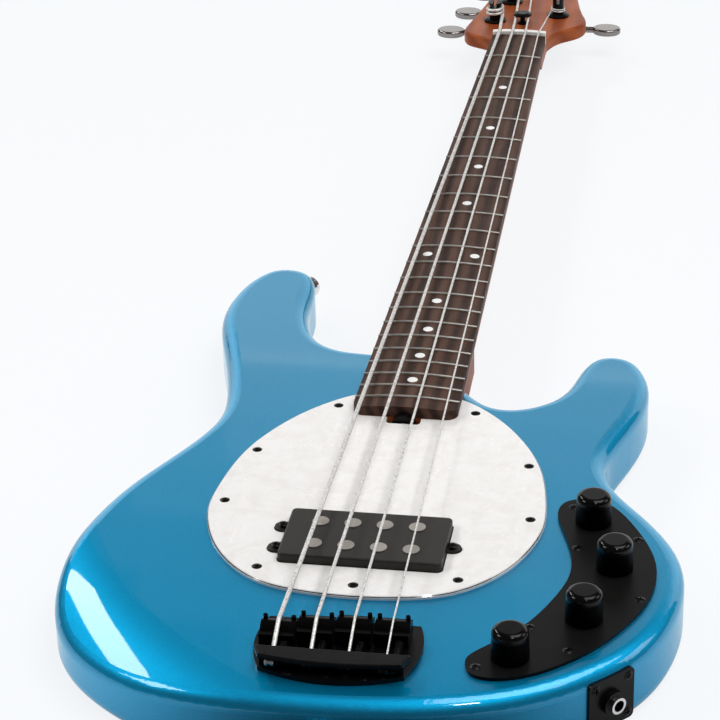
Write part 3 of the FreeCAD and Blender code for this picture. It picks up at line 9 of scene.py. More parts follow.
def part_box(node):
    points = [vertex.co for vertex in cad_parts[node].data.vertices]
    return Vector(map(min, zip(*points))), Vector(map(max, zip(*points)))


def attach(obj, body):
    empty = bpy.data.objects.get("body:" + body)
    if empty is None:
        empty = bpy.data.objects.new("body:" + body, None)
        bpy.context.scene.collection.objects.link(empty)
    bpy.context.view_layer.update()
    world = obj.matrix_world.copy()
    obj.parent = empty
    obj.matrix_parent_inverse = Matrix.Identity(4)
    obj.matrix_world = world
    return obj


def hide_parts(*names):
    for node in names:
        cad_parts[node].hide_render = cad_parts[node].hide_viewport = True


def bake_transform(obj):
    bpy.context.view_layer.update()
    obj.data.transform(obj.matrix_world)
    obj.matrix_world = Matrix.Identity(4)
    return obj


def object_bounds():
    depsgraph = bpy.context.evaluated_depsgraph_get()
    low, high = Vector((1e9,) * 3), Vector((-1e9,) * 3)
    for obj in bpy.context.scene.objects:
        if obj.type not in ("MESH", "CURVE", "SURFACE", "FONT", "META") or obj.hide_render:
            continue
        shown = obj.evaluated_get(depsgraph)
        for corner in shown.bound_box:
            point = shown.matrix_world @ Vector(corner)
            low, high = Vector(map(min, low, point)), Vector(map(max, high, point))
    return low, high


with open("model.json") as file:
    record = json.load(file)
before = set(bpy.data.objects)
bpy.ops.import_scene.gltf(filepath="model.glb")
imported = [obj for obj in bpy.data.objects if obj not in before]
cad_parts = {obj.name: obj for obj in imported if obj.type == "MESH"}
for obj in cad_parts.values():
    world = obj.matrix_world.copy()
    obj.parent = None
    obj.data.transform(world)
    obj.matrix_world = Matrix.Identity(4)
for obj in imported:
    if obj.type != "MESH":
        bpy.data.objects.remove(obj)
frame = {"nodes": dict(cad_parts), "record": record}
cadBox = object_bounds()
nodes = frame["nodes"]
scene = bpy.context.scene
print("frame loaded with", len(nodes), "nodes")


def newObject(name, data):
    obj = bpy.data.objects.new(name, data)
    scene.collection.objects.link(obj)
    return obj


# camera at the photograph's viewing angle
photoView = {"place": (0.21581, -1.13730, 0.81025), "azimuth": 10.043, "elevation": 27.71,
             "roll": -1.51, "lens": 130.88, "sensor": 36.0, "clip": (0.02, 60.0)}


def placeCamera(view):
    turn, tilt, roll = (math.radians(view[k]) for k in ("azimuth", "elevation", "roll"))
    ahead = Vector((-math.sin(turn) * math.cos(tilt), math.cos(turn) * math.cos(tilt), -math.sin(tilt)))
    level = ahead.cross(Vector((0, 0, 1))).normalized()
    over = level.cross(ahead)
    right = level * math.cos(roll) + over * math.sin(roll)
    top = over * math.cos(roll) - level * math.sin(roll)
    data = bpy.data.cameras.new("photoCamera")
    data.lens = view["lens"]
    data.sensor_width = view["sensor"]
    data.clip_start, data.clip_end = view["clip"]
    camera = newObject("photoCamera", data)
    pose = Matrix((right, top, -ahead)).transposed().to_4x4()
    pose.translation = Vector(view["place"])
    camera.matrix_world = pose
    scene.camera = camera


placeCamera(photoView)


# node helpers
def addNode(tree, kind, inputs=None, **settings):
    node = tree.nodes.new(kind)
    for key, value in settings.items():
        setattr(node, key, value)
    for key, value in (inputs or {}).items():
        if isinstance(value, bpy.types.NodeSocket):
            tree.links.new(value, node.inputs[key])
        else:
            node.inputs[key].default_value = value
    return node


def feed(tree, sockets, values):
    for key, value in values.items():
        tree.links.new(value, sockets[key])


def math2(tree, operation, first, second=0.0, clamp=False):
    sockets = {0: first, 1: second}
    return addNode(tree, "ShaderNodeMath", sockets, operation=operation, use_clamp=clamp).outputs[0]


def weighSum(tree, first, firstShare, second, secondShare, clamp=False):
    return math2(tree, "ADD", math2(tree, "MULTIPLY", first, firstShare),
                 math2(tree, "MULTIPLY", second, secondShare), clamp)


def mixColour(tree, factor, first, second):
    sockets = {0: factor, 6: first, 7: second}
    return addNode(tree, "ShaderNodeMix", sockets, data_type="RGBA").outputs[2]


def stretch(tree, value, low, high, newLow=0.0, newHigh=1.0, smooth=False):
    sockets = {0: value, 1: low, 2: high, 3: newLow, 4: newHigh}
    kind = "SMOOTHSTEP" if smooth else "LINEAR"
    return addNode(tree, "ShaderNodeMapRange", sockets, interpolation_type=kind).outputs[0]


def objectPoint(tree, scale=(1, 1, 1), turn=(0, 0, 0)):
    point = addNode(tree, "ShaderNodeTexCoord").outputs["Object"]
    sockets = {"Vector": point, "Scale": scale, "Rotation": turn}
    return addNode(tree, "ShaderNodeMapping", sockets).outputs[0]


def objectAxis(tree, index):
    return addNode(tree, "ShaderNodeSeparateXYZ", {0: objectPoint(tree)}).outputs[index]


def noise(tree, point, size, detail=2.0, rough=0.5, twist=0.0):
    sockets = {"Vector": point, "Scale": size, "Detail": detail, "Roughness": rough, "Distortion": twist}
    return addNode(tree, "ShaderNodeTexNoise", sockets).outputs[0]


def bumpNormal(tree, strength, depth, height):
    sockets = {"Strength": strength, "Distance": depth, "Height": height}
    return addNode(tree, "ShaderNodeBump", sockets).outputs[0]


def newGroup(name, inputs, outputs):
    tree = bpy.data.node_groups.new(name, "ShaderNodeTree")
    for label, kind, value in inputs:
        socket = tree.interface.new_socket(label, in_out="INPUT", socket_type="NodeSocket" + kind)
        socket.default_value = value
    for label, kind in outputs:
        tree.interface.new_socket(label, in_out="OUTPUT", socket_type="NodeSocket" + kind)
    return tree, tree.nodes.new("NodeGroupInput").outputs, tree.nodes.new("NodeGroupOutput").inputs


def useGroup(tree, group, inputs):
    return addNode(tree, "ShaderNodeGroup", inputs, node_tree=group).outputs


def rgba(colour, gain=1.0):
    return (colour[0] * gain, colour[1] * gain, colour[2] * gain, 1.0)


# handling marks: soft cloudy change in roughness, with faint wiped streaks
handlingLook = {"size": 60.0, "low": 0.2, "high": 0.35, "detail": 4.0, "detailRough": 0.6,
                "wipeScale": (6, 1.2, 3), "wipeTurn": (0, 0, 0.5), "cloudShare": 0.65, "wipeShare": 0.35,
                "mask": (0.35, 0.65)}


def buildHandling(look):
    tree, given, result = newGroup("handlingMarks", [
        ("Cloud Size", "Float", look["size"]), ("Low", "Float", look["low"]),
        ("High", "Float", look["high"])], [("Roughness", "Float"), ("Mask", "Float")])
    size = given["Cloud Size"]
    cloud = noise(tree, objectPoint(tree), size, look["detail"], look["detailRough"])
    wipes = noise(tree, objectPoint(tree, look["wipeScale"], look["wipeTurn"]), size)
    both = weighSum(tree, cloud, look["cloudShare"], wipes, look["wipeShare"])
    mask = stretch(tree, both, *look["mask"])
    span = math2(tree, "SUBTRACT", given["High"], given["Low"])
    rough = math2(tree, "ADD", given["Low"], math2(tree, "MULTIPLY", mask, span))
    feed(tree, result, {"Roughness": rough, "Mask": mask})
    return tree


# fine grain: bump of moulded plastic, cast and blasted metal
grainLook = {"size": 2500.0, "depth": 0.00002, "strength": 0.3, "detail": 3.0, "detailRough": 0.55}


def buildFineGrain(look):
    tree, given, result = newGroup("fineGrain", [
        ("Size", "Float", look["size"]), ("Depth", "Float", look["depth"]),
        ("Strength", "Float", look["strength"])], [("Normal", "Vector"), ("Grain", "Float")])
    grain = noise(tree, objectPoint(tree), given["Size"], look["detail"], look["detailRough"])
    normal = bumpNormal(tree, given["Strength"], given["Depth"], grain)
    feed(tree, result, {"Normal": normal, "Grain": grain})
    return tree


# wood figure along Y: growth bands, fibre streaks and short pores
figureLook = {"light": (0.4, 0.2, 0.1), "dark": (0.2, 0.1, 0.05), "pore": (0.05, 0.02, 0.01),
              "bands": 110.0, "fibres": 900.0, "poreAmount": 0.4,
              "swayScale": (18, 2.2, 18), "swayDetail": 3.0, "swayReach": 7.0,
              "depthBands": 160.0, "bandPace": 2.2, "bandShare": 0.5,
              "fibreScale": (1, 0.035, 1), "fibreDetail": 4.0, "fibreRough": 0.62,
              "fibreShare": 0.55, "fibreHeight": 0.4, "tone": (0.15, 0.85),
              "poreScale": (1, 0.06, 1), "poreSize": 1500.0, "poreEdge": (0.28, 0.08),
              "patchScale": (1, 0.2, 1), "patchSize": 160.0, "patchEdge": (0.4, 0.62)}


def buildWoodFigure(look):
    tree, given, result = newGroup("woodFigure", [
        ("Light", "Color", rgba(look["light"])), ("Dark", "Color", rgba(look["dark"])),
        ("Pore", "Color", rgba(look["pore"])), ("Bands", "Float", look["bands"]),
        ("Fibres", "Float", look["fibres"]), ("Pore Amount", "Float", look["poreAmount"])],
        [("Color", "Color"), ("Height", "Float")])
    sway = noise(tree, objectPoint(tree, look["swayScale"]), 1.0, look["swayDetail"])
    ring = weighSum(tree, objectAxis(tree, 0), given["Bands"], sway, look["swayReach"])
    ring = math2(tree, "ADD", ring, math2(tree, "MULTIPLY", objectAxis(tree, 2), look["depthBands"]))
    wave = math2(tree, "SINE", math2(tree, "MULTIPLY", ring, look["bandPace"]))
    band = stretch(tree, wave, -1.0, 1.0, smooth=True)
    streak = noise(tree, objectPoint(tree, look["fibreScale"]), given["Fibres"], look["fibreDetail"],
                   look["fibreRough"])
    tone = weighSum(tree, band, look["bandShare"], streak, look["fibreShare"], True)
    colour = mixColour(tree, stretch(tree, tone, *look["tone"]), given["Dark"], given["Light"])
    cells = {"Vector": objectPoint(tree, look["poreScale"]), "Scale": look["poreSize"]}
    pore = addNode(tree, "ShaderNodeTexVoronoi", cells, feature="F1").outputs["Distance"]
    patch = noise(tree, objectPoint(tree, look["patchScale"]), look["patchSize"])
    holes = math2(tree, "MULTIPLY", stretch(tree, pore, *look["poreEdge"]),
                  stretch(tree, patch, *look["patchEdge"]))
    holes = math2(tree, "MULTIPLY", holes, given["Pore Amount"])
    height = math2(tree, "SUBTRACT", math2(tree, "MULTIPLY", streak, look["fibreHeight"]), holes)
    feed(tree, result, {"Color": mixColour(tree, holes, colour, given["Pore"]), "Height": height})
    return tree


handling = buildHandling(handlingLook)
fineGrain = buildFineGrain(grainLook)
woodFigure = buildWoodFigure(figureLook)


def emptyMaterial(name):
    material = bpy.data.materials.new(name)
    material.use_nodes = True
    tree = material.node_tree
    tree.nodes.clear()
    return material, tree


def newFinish(name, plain):
    material, tree = emptyMaterial(name)
    shader = addNode(tree, "ShaderNodeBsdfPrincipled", plain)
    addNode(tree, "ShaderNodeOutputMaterial", {0: shader.outputs[0]})
    return material, tree, shader.inputs


def marksOf(tree, size, low, high):
    return useGroup(tree, handling, {"Cloud Size": size, "Low": low, "High": high})


def grainOf(tree, size, depth, strength):
    return useGroup(tree, fineGrain, {"Size": size, "Depth": depth, "Strength": strength})


# body: metal-flake blue under a clear gloss coat
bodyPaint = {"blue": (0.001, 0.305, 0.57), "spark": (0.01, 0.52, 0.86), "deep": (0.001, 0.22, 0.46),
             "edge": (0.40, 0.95, 1.0), "coat": 0.9, "coatRough": 0.04, "coatIor": 1.5,
             "flakeSize": 5200.0, "flakeRough": (0.42, 0.54), "flakeTilt": (0.10, 0.00004),
             "glint": (0.55, 1.0, 0.0, 0.45), "driftSize": 9.0, "driftDetail": 3.0,
             "drift": (0.3, 0.7, 0.0, 0.25), "peel": (140.0, 0.00003, 0.12)}


def makeBodyPaint(look):
    material, tree, put = newFinish("bodyLacquer", {
        "Metallic": 1.0, "Coat Weight": look["coat"], "Coat Roughness": look["coatRough"],
        "Coat IOR": look["coatIor"], "Specular Tint": rgba(look["edge"])})
    flake = addNode(tree, "ShaderNodeTexVoronoi", {"Vector": objectPoint(tree), "Scale": look["flakeSize"]})
    turnBy = addNode(tree, "ShaderNodeSeparateColor", {0: flake.outputs["Color"]}).outputs
    drift = noise(tree, objectPoint(tree), look["driftSize"], look["driftDetail"])
    base = mixColour(tree, stretch(tree, drift, *look["drift"]), rgba(look["blue"]), rgba(look["deep"]))
    glint = stretch(tree, turnBy[0], *look["glint"])
    feed(tree, put, {
        "Base Color": mixColour(tree, glint, base, rgba(look["spark"])),
        "Roughness": stretch(tree, turnBy[1], 0.0, 1.0, *look["flakeRough"]),
        "Normal": bumpNormal(tree, *look["flakeTilt"], turnBy[2]),
        "Coat Normal": grainOf(tree, *look["peel"])["Normal"]})
    return material


# woods
woodSurface = {"coatRough": 0.28, "cloudSize": 45.0, "roughSpread": 0.07, "bump": (0.35, 0.00008)}
neckWood = {"light": (0.40, 0.098, 0.025), "dark": (0.25, 0.050, 0.011), "pore": (0.12, 0.03, 0.008),
            "bands": 120.0, "fibres": 700.0, "poreAmount": 0.25, "rough": 0.42, "coat": 0.05, "gloss": 0.16}
boardWood = {"light": (0.105, 0.054, 0.037), "dark": (0.022, 0.010, 0.007), "pore": (0.004, 0.002, 0.0015),
             "bands": 260.0, "fibres": 900.0, "poreAmount": 0.85, "rough": 0.52, "coat": 0.0, "gloss": 0.12}


def makeWood(name, look):
    material, tree, put = newFinish(name, {
        "Coat Weight": look["coat"], "Coat Roughness": woodSurface["coatRough"],
        "Specular IOR Level": look["gloss"]})
    figure = useGroup(tree, woodFigure, {
        "Light": rgba(look["light"]), "Dark": rgba(look["dark"]), "Pore": rgba(look["pore"]),
        "Bands": look["bands"], "Fibres": look["fibres"], "Pore Amount": look["poreAmount"]})
    spread = woodSurface["roughSpread"]
    marks = marksOf(tree, woodSurface["cloudSize"], look["rough"] - spread, look["rough"] + spread)
    feed(tree, put, {"Base Color": figure["Color"], "Roughness": marks["Roughness"],
                     "Normal": bumpNormal(tree, *woodSurface["bump"], figure["Height"])})
    return material


# metals and plastics share one maker; grain is the size and depth of the fine bump
hardSurface = {"coatRough": 0.06, "wear": 0.12, "cloudSize": 70.0, "grainStrength": 0.35,
               "tint": (0.88, 1.10), "speck": (0.35, 0.65, 0.0, 0.18), "speckGain": 1.35}


def makeHard(name, colour, rough, grain, metal=0.0, coat=0.0, gloss=0.5):
    look = hardSurface
    material, tree, put = newFinish(name, {
        "Metallic": metal, "Coat Weight": coat, "Coat Roughness": look["coatRough"],
        "Specular IOR Level": gloss})
    marks = marksOf(tree, look["cloudSize"], rough * (1 - look["wear"]), rough * (1 + look["wear"]))
    fine = grainOf(tree, *grain, look["grainStrength"])
    tint = mixColour(tree, marks["Mask"], *(rgba(colour, gain) for gain in look["tint"]))
    speck = stretch(tree, fine["Grain"], *look["speck"])
    feed(tree, put, {"Base Color": mixColour(tree, speck, tint, rgba(colour, look["speckGain"])),
                     "Roughness": marks["Roughness"], "Normal": fine["Normal"]})
    return material


# pickguard: pearl white top, dark middle ply, white bottom ply
guardLook = {"pearl": (0.92, 0.90, 0.88), "shade": (0.82, 0.79, 0.765), "dark": (0.012, 0.012, 0.014),
             "topPly": 0.00040, "midPly": 0.00085, "plyEdge": 0.00002, "bottomGain": 0.9,
             "coat": 0.6, "coatRough": 0.05, "warpSize": 55.0, "warpDetail": 3.0, "warpReach": (0.03,) * 3,
             "flowSize": 120.0, "flowShare": 0.55, "sheenSize": 210.0, "sheenDetail": 5.0,
             "sheenTwist": 2.4, "sheenShare": 0.6, "swirl": (0.42, 0.75, 0.0, 0.75),
             "marks": (40.0, 0.18, 0.30)}


def makeGuard(look):
    material, tree, put = newFinish("guardPearl", {
        "Coat Weight": look["coat"], "Coat Roughness": look["coatRough"], "Metallic": 0.0})
    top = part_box("pickguard")[1][2]
    warp = addNode(tree, "ShaderNodeTexNoise", {
        "Vector": objectPoint(tree), "Scale": look["warpSize"], "Detail": look["warpDetail"]})
    point = addNode(tree, "ShaderNodeVectorMath", {
        0: warp.outputs["Color"], 1: look["warpReach"], 2: objectPoint(tree)},
        operation="MULTIPLY_ADD").outputs[0]
    flow = addNode(tree, "ShaderNodeTexVoronoi", {"Vector": point, "Scale": look["flowSize"]},
                   feature="SMOOTH_F1").outputs["Distance"]
    sheen = noise(tree, point, look["sheenSize"], look["sheenDetail"], twist=look["sheenTwist"])
    swirl = weighSum(tree, flow, look["flowShare"], sheen, look["sheenShare"])
    cloudy = stretch(tree, swirl, *look["swirl"], True)
    pearl = mixColour(tree, cloudy, rgba(look["pearl"]), rgba(look["shade"]))
    depth = objectAxis(tree, 2)
    under, below = (stretch(tree, depth, top - look[ply], top - look[ply] - look["plyEdge"])
                    for ply in ("topPly", "midPly"))
    plies = mixColour(tree, under, pearl, rgba(look["dark"]))
    feed(tree, put, {"Base Color": mixColour(tree, below, plies, rgba(look["pearl"], look["bottomGain"])),
                     "Roughness": marksOf(tree, *look["marks"])["Roughness"]})
    return material


# knobs: polished top, satin sides; the sides are also set metallic on the near-black colour so they reflect
# less, which is painted shade
knobLook = {"black": (0.0015, 0.0015, 0.0016), "worn": (0.004, 0.0038, 0.0036), "gloss": 0.18,
            "polish": 0.10, "satin": 0.5, "topEdge": (0.0035, 0.006), "marks": (90.0, 0.0, 0.04),
            "grain": (3000.0, 0.000006, 0.3)}


def makeKnob(look):
    material, tree, put = newFinish("knobGloss", {"Specular IOR Level": look["gloss"]})
    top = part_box("knob_volume")[1][2]
    marks = marksOf(tree, *look["marks"])
    side = stretch(tree, objectAxis(tree, 2), *(top - edge for edge in look["topEdge"]), smooth=True)
    rough = stretch(tree, side, 0.0, 1.0, look["polish"], look["satin"])
    # Metallic follows the side mask: painted shade on the knob's sides
    feed(tree, put, {
        "Base Color": mixColour(tree, marks["Mask"], rgba(look["black"]), rgba(look["worn"])),
        "Roughness": math2(tree, "ADD", rough, marks["Roughness"]), "Metallic": side,
        "Normal": grainOf(tree, *look["grain"])["Normal"]})
    return material


# round-wound string steel, speckled with painted highlights where the windings would catch the light
woundLook = {"dull": (0.58, 0.56, 0.53), "paintedGlint": (0.94, 0.92, 0.89), "metal": 0.55,
             "glintSize": 750.0, "speck": (0.34, 0.56), "marks": (160.0, 0.38, 0.52)}


def makeWound(look):
    material, tree, put = newFinish("roundWound", {"Metallic": look["metal"]})
    # bright specks from noise: painted highlights on the windings
    speck = stretch(tree, noise(tree, objectPoint(tree), look["glintSize"]), *look["speck"])
    feed(tree, put, {"Base Color": mixColour(tree, speck, rgba(look["dull"]), rgba(look["paintedGlint"])),
                     "Roughness": marksOf(tree, *look["marks"])["Roughness"]})
    return material


# one finish for each material slot of the record; a hard one has colour, roughness and grain
finishes = {
    "body_lacquer": makeBodyPaint(bodyPaint),
    "neck_wood": makeWood("roastedMaple", neckWood),
    "board_wood": makeWood("darkRosewood", boardWood),
    "nickel": makeHard("fretNickel", (0.50, 0.47, 0.43), 0.34, (3000.0, 0.000006), metal=1.0),
    "string_steel": makeWound(woundLook),
    "marker_white": makeHard("pearlDot", (0.86, 0.86, 0.83), 0.25, (900.0, 0.00001), coat=0.3),
    "nut_white": makeHard("boneNut", (0.84, 0.83, 0.79), 0.38, (1200.0, 0.00002)),
    "guard_pearl": makeGuard(guardLook),
    "black_metal": makeHard("blackPlating", (0.003, 0.0026, 0.0026), 0.30, (2600.0, 0.00002), gloss=0.16),
    "knob_black": makeKnob(knobLook),
    "plate_black": makeHard("controlSheet", (0.005, 0.0046, 0.0044), 0.40, (2200.0, 0.00002), gloss=0.09),
    "cover_black": makeHard("pickupPlastic", (0.014, 0.0115, 0.0095), 0.46, (1800.0, 0.00004), gloss=0.35),
    "pole_steel": makeHard("magnetSteel", (0.52, 0.48, 0.44), 0.38, (900.0, 0.00025), metal=1.0),
    "winding_copper": makeHard("coilWire", (0.55, 0.23, 0.09), 0.30, (4000.0, 0.00003), metal=1.0),
    "sleeve_rubber": makeHard("softTube", (0.020, 0.020, 0.020), 0.75, (1600.0, 0.00004)),
    "pot_steel": makeHard("tinPlate", (0.58, 0.58, 0.58), 0.32, (2000.0, 0.00001), metal=1.0),
    "board_green": makeHard("circuitLaminate", (0.02, 0.15, 0.06), 0.35, (1500.0, 0.00002), coat=0.3),
    "box_plastic": makeHard("boxMoulding", (0.018, 0.018, 0.019), 0.52, (1400.0, 0.00006)),
    "battery_case": makeHard("batteryJacket", (0.10, 0.10, 0.11), 0.35, (1800.0, 0.00001), metal=0.6),
    "jack_chrome": makeHard("jackChrome", (0.78, 0.78, 0.78), 0.10, (2000.0, 0.000004), metal=1.0),
    "button_dark": makeHard("buttonPlating", (0.27, 0.25, 0.24), 0.20, (2400.0, 0.00001), metal=1.0),
}
# painted shade: the saddles take a darker, less glossy copy of the black plating, standing in for the shade
# they sit in
saddleShadedBlack = makeHard("saddlePlatingShaded", (0.002, 0.0018, 0.0018), 0.24, (2600.0, 0.00002), gloss=0.06)
slotOf = {s["node"]: s["material_slot"] for s in frame["record"]["subparts"]}
for name, obj in nodes.items():
    finish = saddleShadedBlack if name.startswith("saddle_") else finishes[slotOf[name]]
    if not obj.material_slots:
        obj.data.materials.append(finish)
    for place in obj.material_slots:
        place.material = finish
print("finishes on", len(nodes), "nodes")


# geometry node helpers
def newTree(name, inputs):
    tree = bpy.data.node_groups.new(name, "GeometryNodeTree")
    tree.interface.new_socket("Geometry", in_out="INPUT", socket_type="NodeSocketGeometry")
    keys = {}
    for label, kind, value in inputs:
        socket = tree.interface.new_socket(label, in_out="INPUT", socket_type="NodeSocket" + kind)
        socket.default_value = value
        keys[label] = socket.identifier
    tree.interface.new_socket("Geometry", in_out="OUTPUT", socket_type="NodeSocketGeometry")
    return tree, keys, tree.nodes.new("NodeGroupInput").outputs, tree.nodes.new("NodeGroupOutput").inputs


def sweepTube(tree, curve, diameter, sides, scale=1.0):
    radius = math2(tree, "MULTIPLY", diameter, 0.5)
    ring = addNode(tree, "GeometryNodeCurvePrimitiveCircle", {"Resolution": sides, "Radius": radius})
    return addNode(tree, "GeometryNodeCurveToMesh", {
        "Curve": curve, "Profile Curve": ring.outputs[0], "Scale": scale, "Fill Caps": True}).outputs[0]


def closeTree(tree, geometry, result, material):
    whole = addNode(tree, "GeometryNodeRealizeInstances", {0: geometry}).outputs[0]
    painted = addNode(tree, "GeometryNodeSetMaterial", {"Geometry": whole, "Material": material})
    tree.links.new(painted.outputs[0], result[0])


def bakeTree(name, source, tree, keys, values):
    modifier = source.modifiers.new("shape", "NODES")
    modifier.node_group = tree
    for label, value in values.items():
        modifier[keys[label]] = value
    bpy.context.view_layer.update()
    ready = source.evaluated_get(bpy.context.evaluated_depsgraph_get())
    mesh = bpy.data.meshes.new_from_object(ready)
    mesh.name = name
    source.modifiers.remove(modifier)
    bpy.data.objects.remove(source)
    mesh.shade_smooth()
    return newObject(name, mesh)


# strings: the route repeats the CAD's sizes, in metres
stringSet = {"names": ("e", "a", "d", "g"), "diameter": (0.00267, 0.00216, 0.00165, 0.00114),
             "wrap": (0.00064, 0.00056, 0.00048, 0.00040), "groove": 0.10, "sides": 10,
             "setback": (0.015, 0.0125, 0.010, 0.0075), "saddleStep": 0.0198, "nutStep": 0.01055,
             "middle": 1.5, "scale": 0.8636, "gap": 0.0003, "boardRadius": 0.241,
             "holeZ": 0.0475, "wallBack": 0.0395, "wallFront": 0.036, "wallInset": 0.003, "ball": 0.0023,
             "saddleUnder": 0.0561, "nutUnder": 0.0527,
             "posts": ((-0.02597, 0.917992), (-0.016954, 0.964049), (-0.008526, 1.011981),
                       (0.02499, 0.935081)),
             "turnWay": (1, 1, 1, -1), "postRadius": 0.0046, "turnGap": 0.0006, "turns": 2, "steps": 16,
             "extraSteps": 4, "windBase": 0.0447, "retained": (1, 2), "retainerY": 0.914033,
             "retainerRadius": 0.0074, "underDisc": 0.0494, "resolution": 12}
# how far from each corner the route's points stand, and the ends of the stretches near the saddles, which
# the loop below works out but does not use
routeReach = {"split": 0.009, "saddle": 0.003, "far": 0.06, "nut": 0.006, "disc": 0.008, "post": 0.004,
              "follow": 0.25, "tailStart": -0.034, "tailEnd": 0.007, "tailHeight": 0.05}


def crownDrop(x):
    radius = stringSet["boardRadius"]
    return radius - math.sqrt(radius * radius - x * x)


def saddleCorner(i):
    x = (i - stringSet["middle"]) * stringSet["saddleStep"]
    height = stringSet["saddleUnder"] - crownDrop(x) + stringSet["diameter"][i] / 2
    return Vector((x, -stringSet["setback"][i], height))


def nutCorner(i):
    x = (i - stringSet["middle"]) * stringSet["nutStep"]
    height = stringSet["nutUnder"] - crownDrop(x) + stringSet["diameter"][i] / 2
    return Vector((x, stringSet["scale"], height))


def windRadius(i):
    return stringSet["postRadius"] + stringSet["gap"] + stringSet["diameter"][i] / 2


def between(start, end, reach):
    return start + (end - start).normalized() * reach


def splitPoint(i):
    return between(saddleCorner(i), nutCorner(i), routeReach["split"])


def tailRoute(i):
    corner = saddleCorner(i)
    near = routeReach["saddle"]
    hole = Vector((corner.x, -stringSet["wallFront"] + stringSet["wallInset"], stringSet["holeZ"]))
    ballY = -stringSet["wallBack"] - stringSet["ball"] - stringSet["gap"]
    ball = Vector((corner.x, ballY, stringSet["holeZ"]))
    return [ball, between(hole, ball, near), hole, between(hole, corner, near), between(corner, hole, near),
            corner, between(corner, nutCorner(i), near), splitPoint(i)]


def exitCorner(i):
    # under the retainer's disc for the two middle strings, else the nut itself
    nut = nutCorner(i)
    if i not in stringSet["retained"]:
        return nut
    y = stringSet["retainerY"] - stringSet["retainerRadius"]
    post = stringSet["posts"][i]
    share = (y - nut.y) / (post[1] - nut.y)
    return Vector((nut.x + (post[0] + windRadius(i) - nut.x) * share, y,
                   stringSet["underDisc"] - stringSet["gap"] - stringSet["diameter"][i] / 2))


def turnPoint(i, k):
    # control points stand outside the post so that the smooth line between them keeps its distance
    post = Vector((*stringSet["posts"][i], 0))
    way = stringSet["turnWay"][i]
    radius = windRadius(i)
    away = exitCorner(i) - post
    away.z = 0
    start = math.atan2(away.y, away.x) + way * math.acos(radius / away.length)
    step = 2 * math.pi / stringSet["steps"]
    angle = start + way * step * (k + 0.5)
    rise = (stringSet["diameter"][i] + stringSet["turnGap"]) * (k + 0.5) / stringSet["steps"]
    wide = radius / math.cos(step / 2)
    low = stringSet["windBase"] + stringSet["diameter"][i]
    return post + Vector((math.cos(angle) * wide, math.sin(angle) * wide, low + rise))


def neckRoute(i):
    nut, split, first = nutCorner(i), splitPoint(i), turnPoint(i, 0)
    far, near, disc = routeReach["far"], routeReach["nut"], routeReach["disc"]
    route = [split, between(split, nut, far), between(nut, split, far), between(nut, split, near), nut]
    if i in stringSet["retained"]:
        corner = exitCorner(i)
        route += [between(nut, corner, near), between(corner, nut, disc), corner,
                  between(corner, first, disc)]
    else:
        route.append(between(nut, first, near))
    route.append(between(first, route[-1], routeReach["post"]))
    count = stringSet["steps"] * stringSet["turns"] + stringSet["extraSteps"]
    return route + [turnPoint(i, k) for k in range(count)]


def routeCurve(name, points):
    data = bpy.data.curves.new(name, "CURVE")
    data.dimensions = "3D"
    data.resolution_u = stringSet["resolution"]
    spline = data.splines.new("NURBS")
    spline.points.add(len(points) - 1)
    for place, point in zip(spline.points, points):
        place.co = (*point, 1.0)
    spline.order_u = 3
    spline.use_endpoint_u = True
    return newObject(name, data)


# every second ring of a string is a little thinner, which leaves a groove between the windings
def woundTree(material):
    tree, keys, given, result = newTree("woundString", [
        ("Diameter", "Float", stringSet["diameter"][0]), ("Wrap", "Float", stringSet["wrap"][0]),
        ("Groove", "Float", stringSet["groove"]), ("Sides", "Int", stringSet["sides"])])
    half = math2(tree, "MULTIPLY", given["Wrap"], 0.5)
    line = addNode(tree, "GeometryNodeResampleCurve", {"Curve": given["Geometry"], "Length": half},
                   mode="LENGTH")
    odd = math2(tree, "MODULO", addNode(tree, "GeometryNodeSplineParameter").outputs["Index"], 2.0)
    dip = math2(tree, "SUBTRACT", 1.0, math2(tree, "MULTIPLY", odd, given["Groove"]))
    tube = sweepTube(tree, line.outputs[0], given["Diameter"], given["Sides"], dip)
    closeTree(tree, tube, result, material)
    return tree, keys


wound, woundKeys = woundTree(finishes["string_steel"])
for i, letter in enumerate(stringSet["names"]):
    size = {"Diameter": stringSet["diameter"][i], "Wrap": stringSet["wrap"][i],
            "Groove": stringSet["groove"], "Sides": stringSet["sides"]}
    mainLine = routeCurve(f"route_{letter}", neckRoute(i))
    main = bakeTree(f"string_{letter}", mainLine, wound, woundKeys, size)
    tailLine = routeCurve(f"tail_{letter}", tailRoute(i))
    tail = bakeTree(f"string_{letter}_tail", tailLine, wound, woundKeys, size)
    corner = saddleCorner(i)
    near = splitPoint(i)
    height = routeReach["tailHeight"]
    mainEnds = (between(near, nutCorner(i), routeReach["follow"]), near)
    tailEnds = (Vector((corner.x, routeReach["tailStart"], height)),
                Vector((corner.x, corner.y - routeReach["tailEnd"], height)))
    for piece, (start, end) in ((main, mainEnds), (tail, tailEnds)):
        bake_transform(piece)
        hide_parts("strings")
print("strings wound")


# springs on the intonation screws
springSet = {"wire": 0.0005, "coil": 0.0022, "pitch": 0.00155, "offset": 0.0046, "height": 0.0472,
             "gap": 0.0005, "saddleBack": 0.009, "steps": 28, "sides": 10}


def springTree(material):
    tree, keys, given, result = newTree("screwSpring", [
        ("Turns", "Float", 1.0), ("Radius", "Float", springSet["coil"]),
        ("Length", "Float", springSet["pitch"]), ("Wire", "Float", springSet["wire"]),
        ("Place", "Vector", (0, 0, 0))])
    coil = addNode(tree, "GeometryNodeCurveSpiral", {
        "Resolution": springSet["steps"], "Rotations": given["Turns"], "Start Radius": given["Radius"],
        "End Radius": given["Radius"], "Height": given["Length"]})
    laid = addNode(tree, "GeometryNodeTransform", {
        "Geometry": coil.outputs[0], "Translation": given["Place"], "Rotation": (-math.pi / 2, 0, 0)})
    closeTree(tree, sweepTube(tree, laid.outputs[0], given["Wire"], springSet["sides"]), result, material)
    return tree, keys


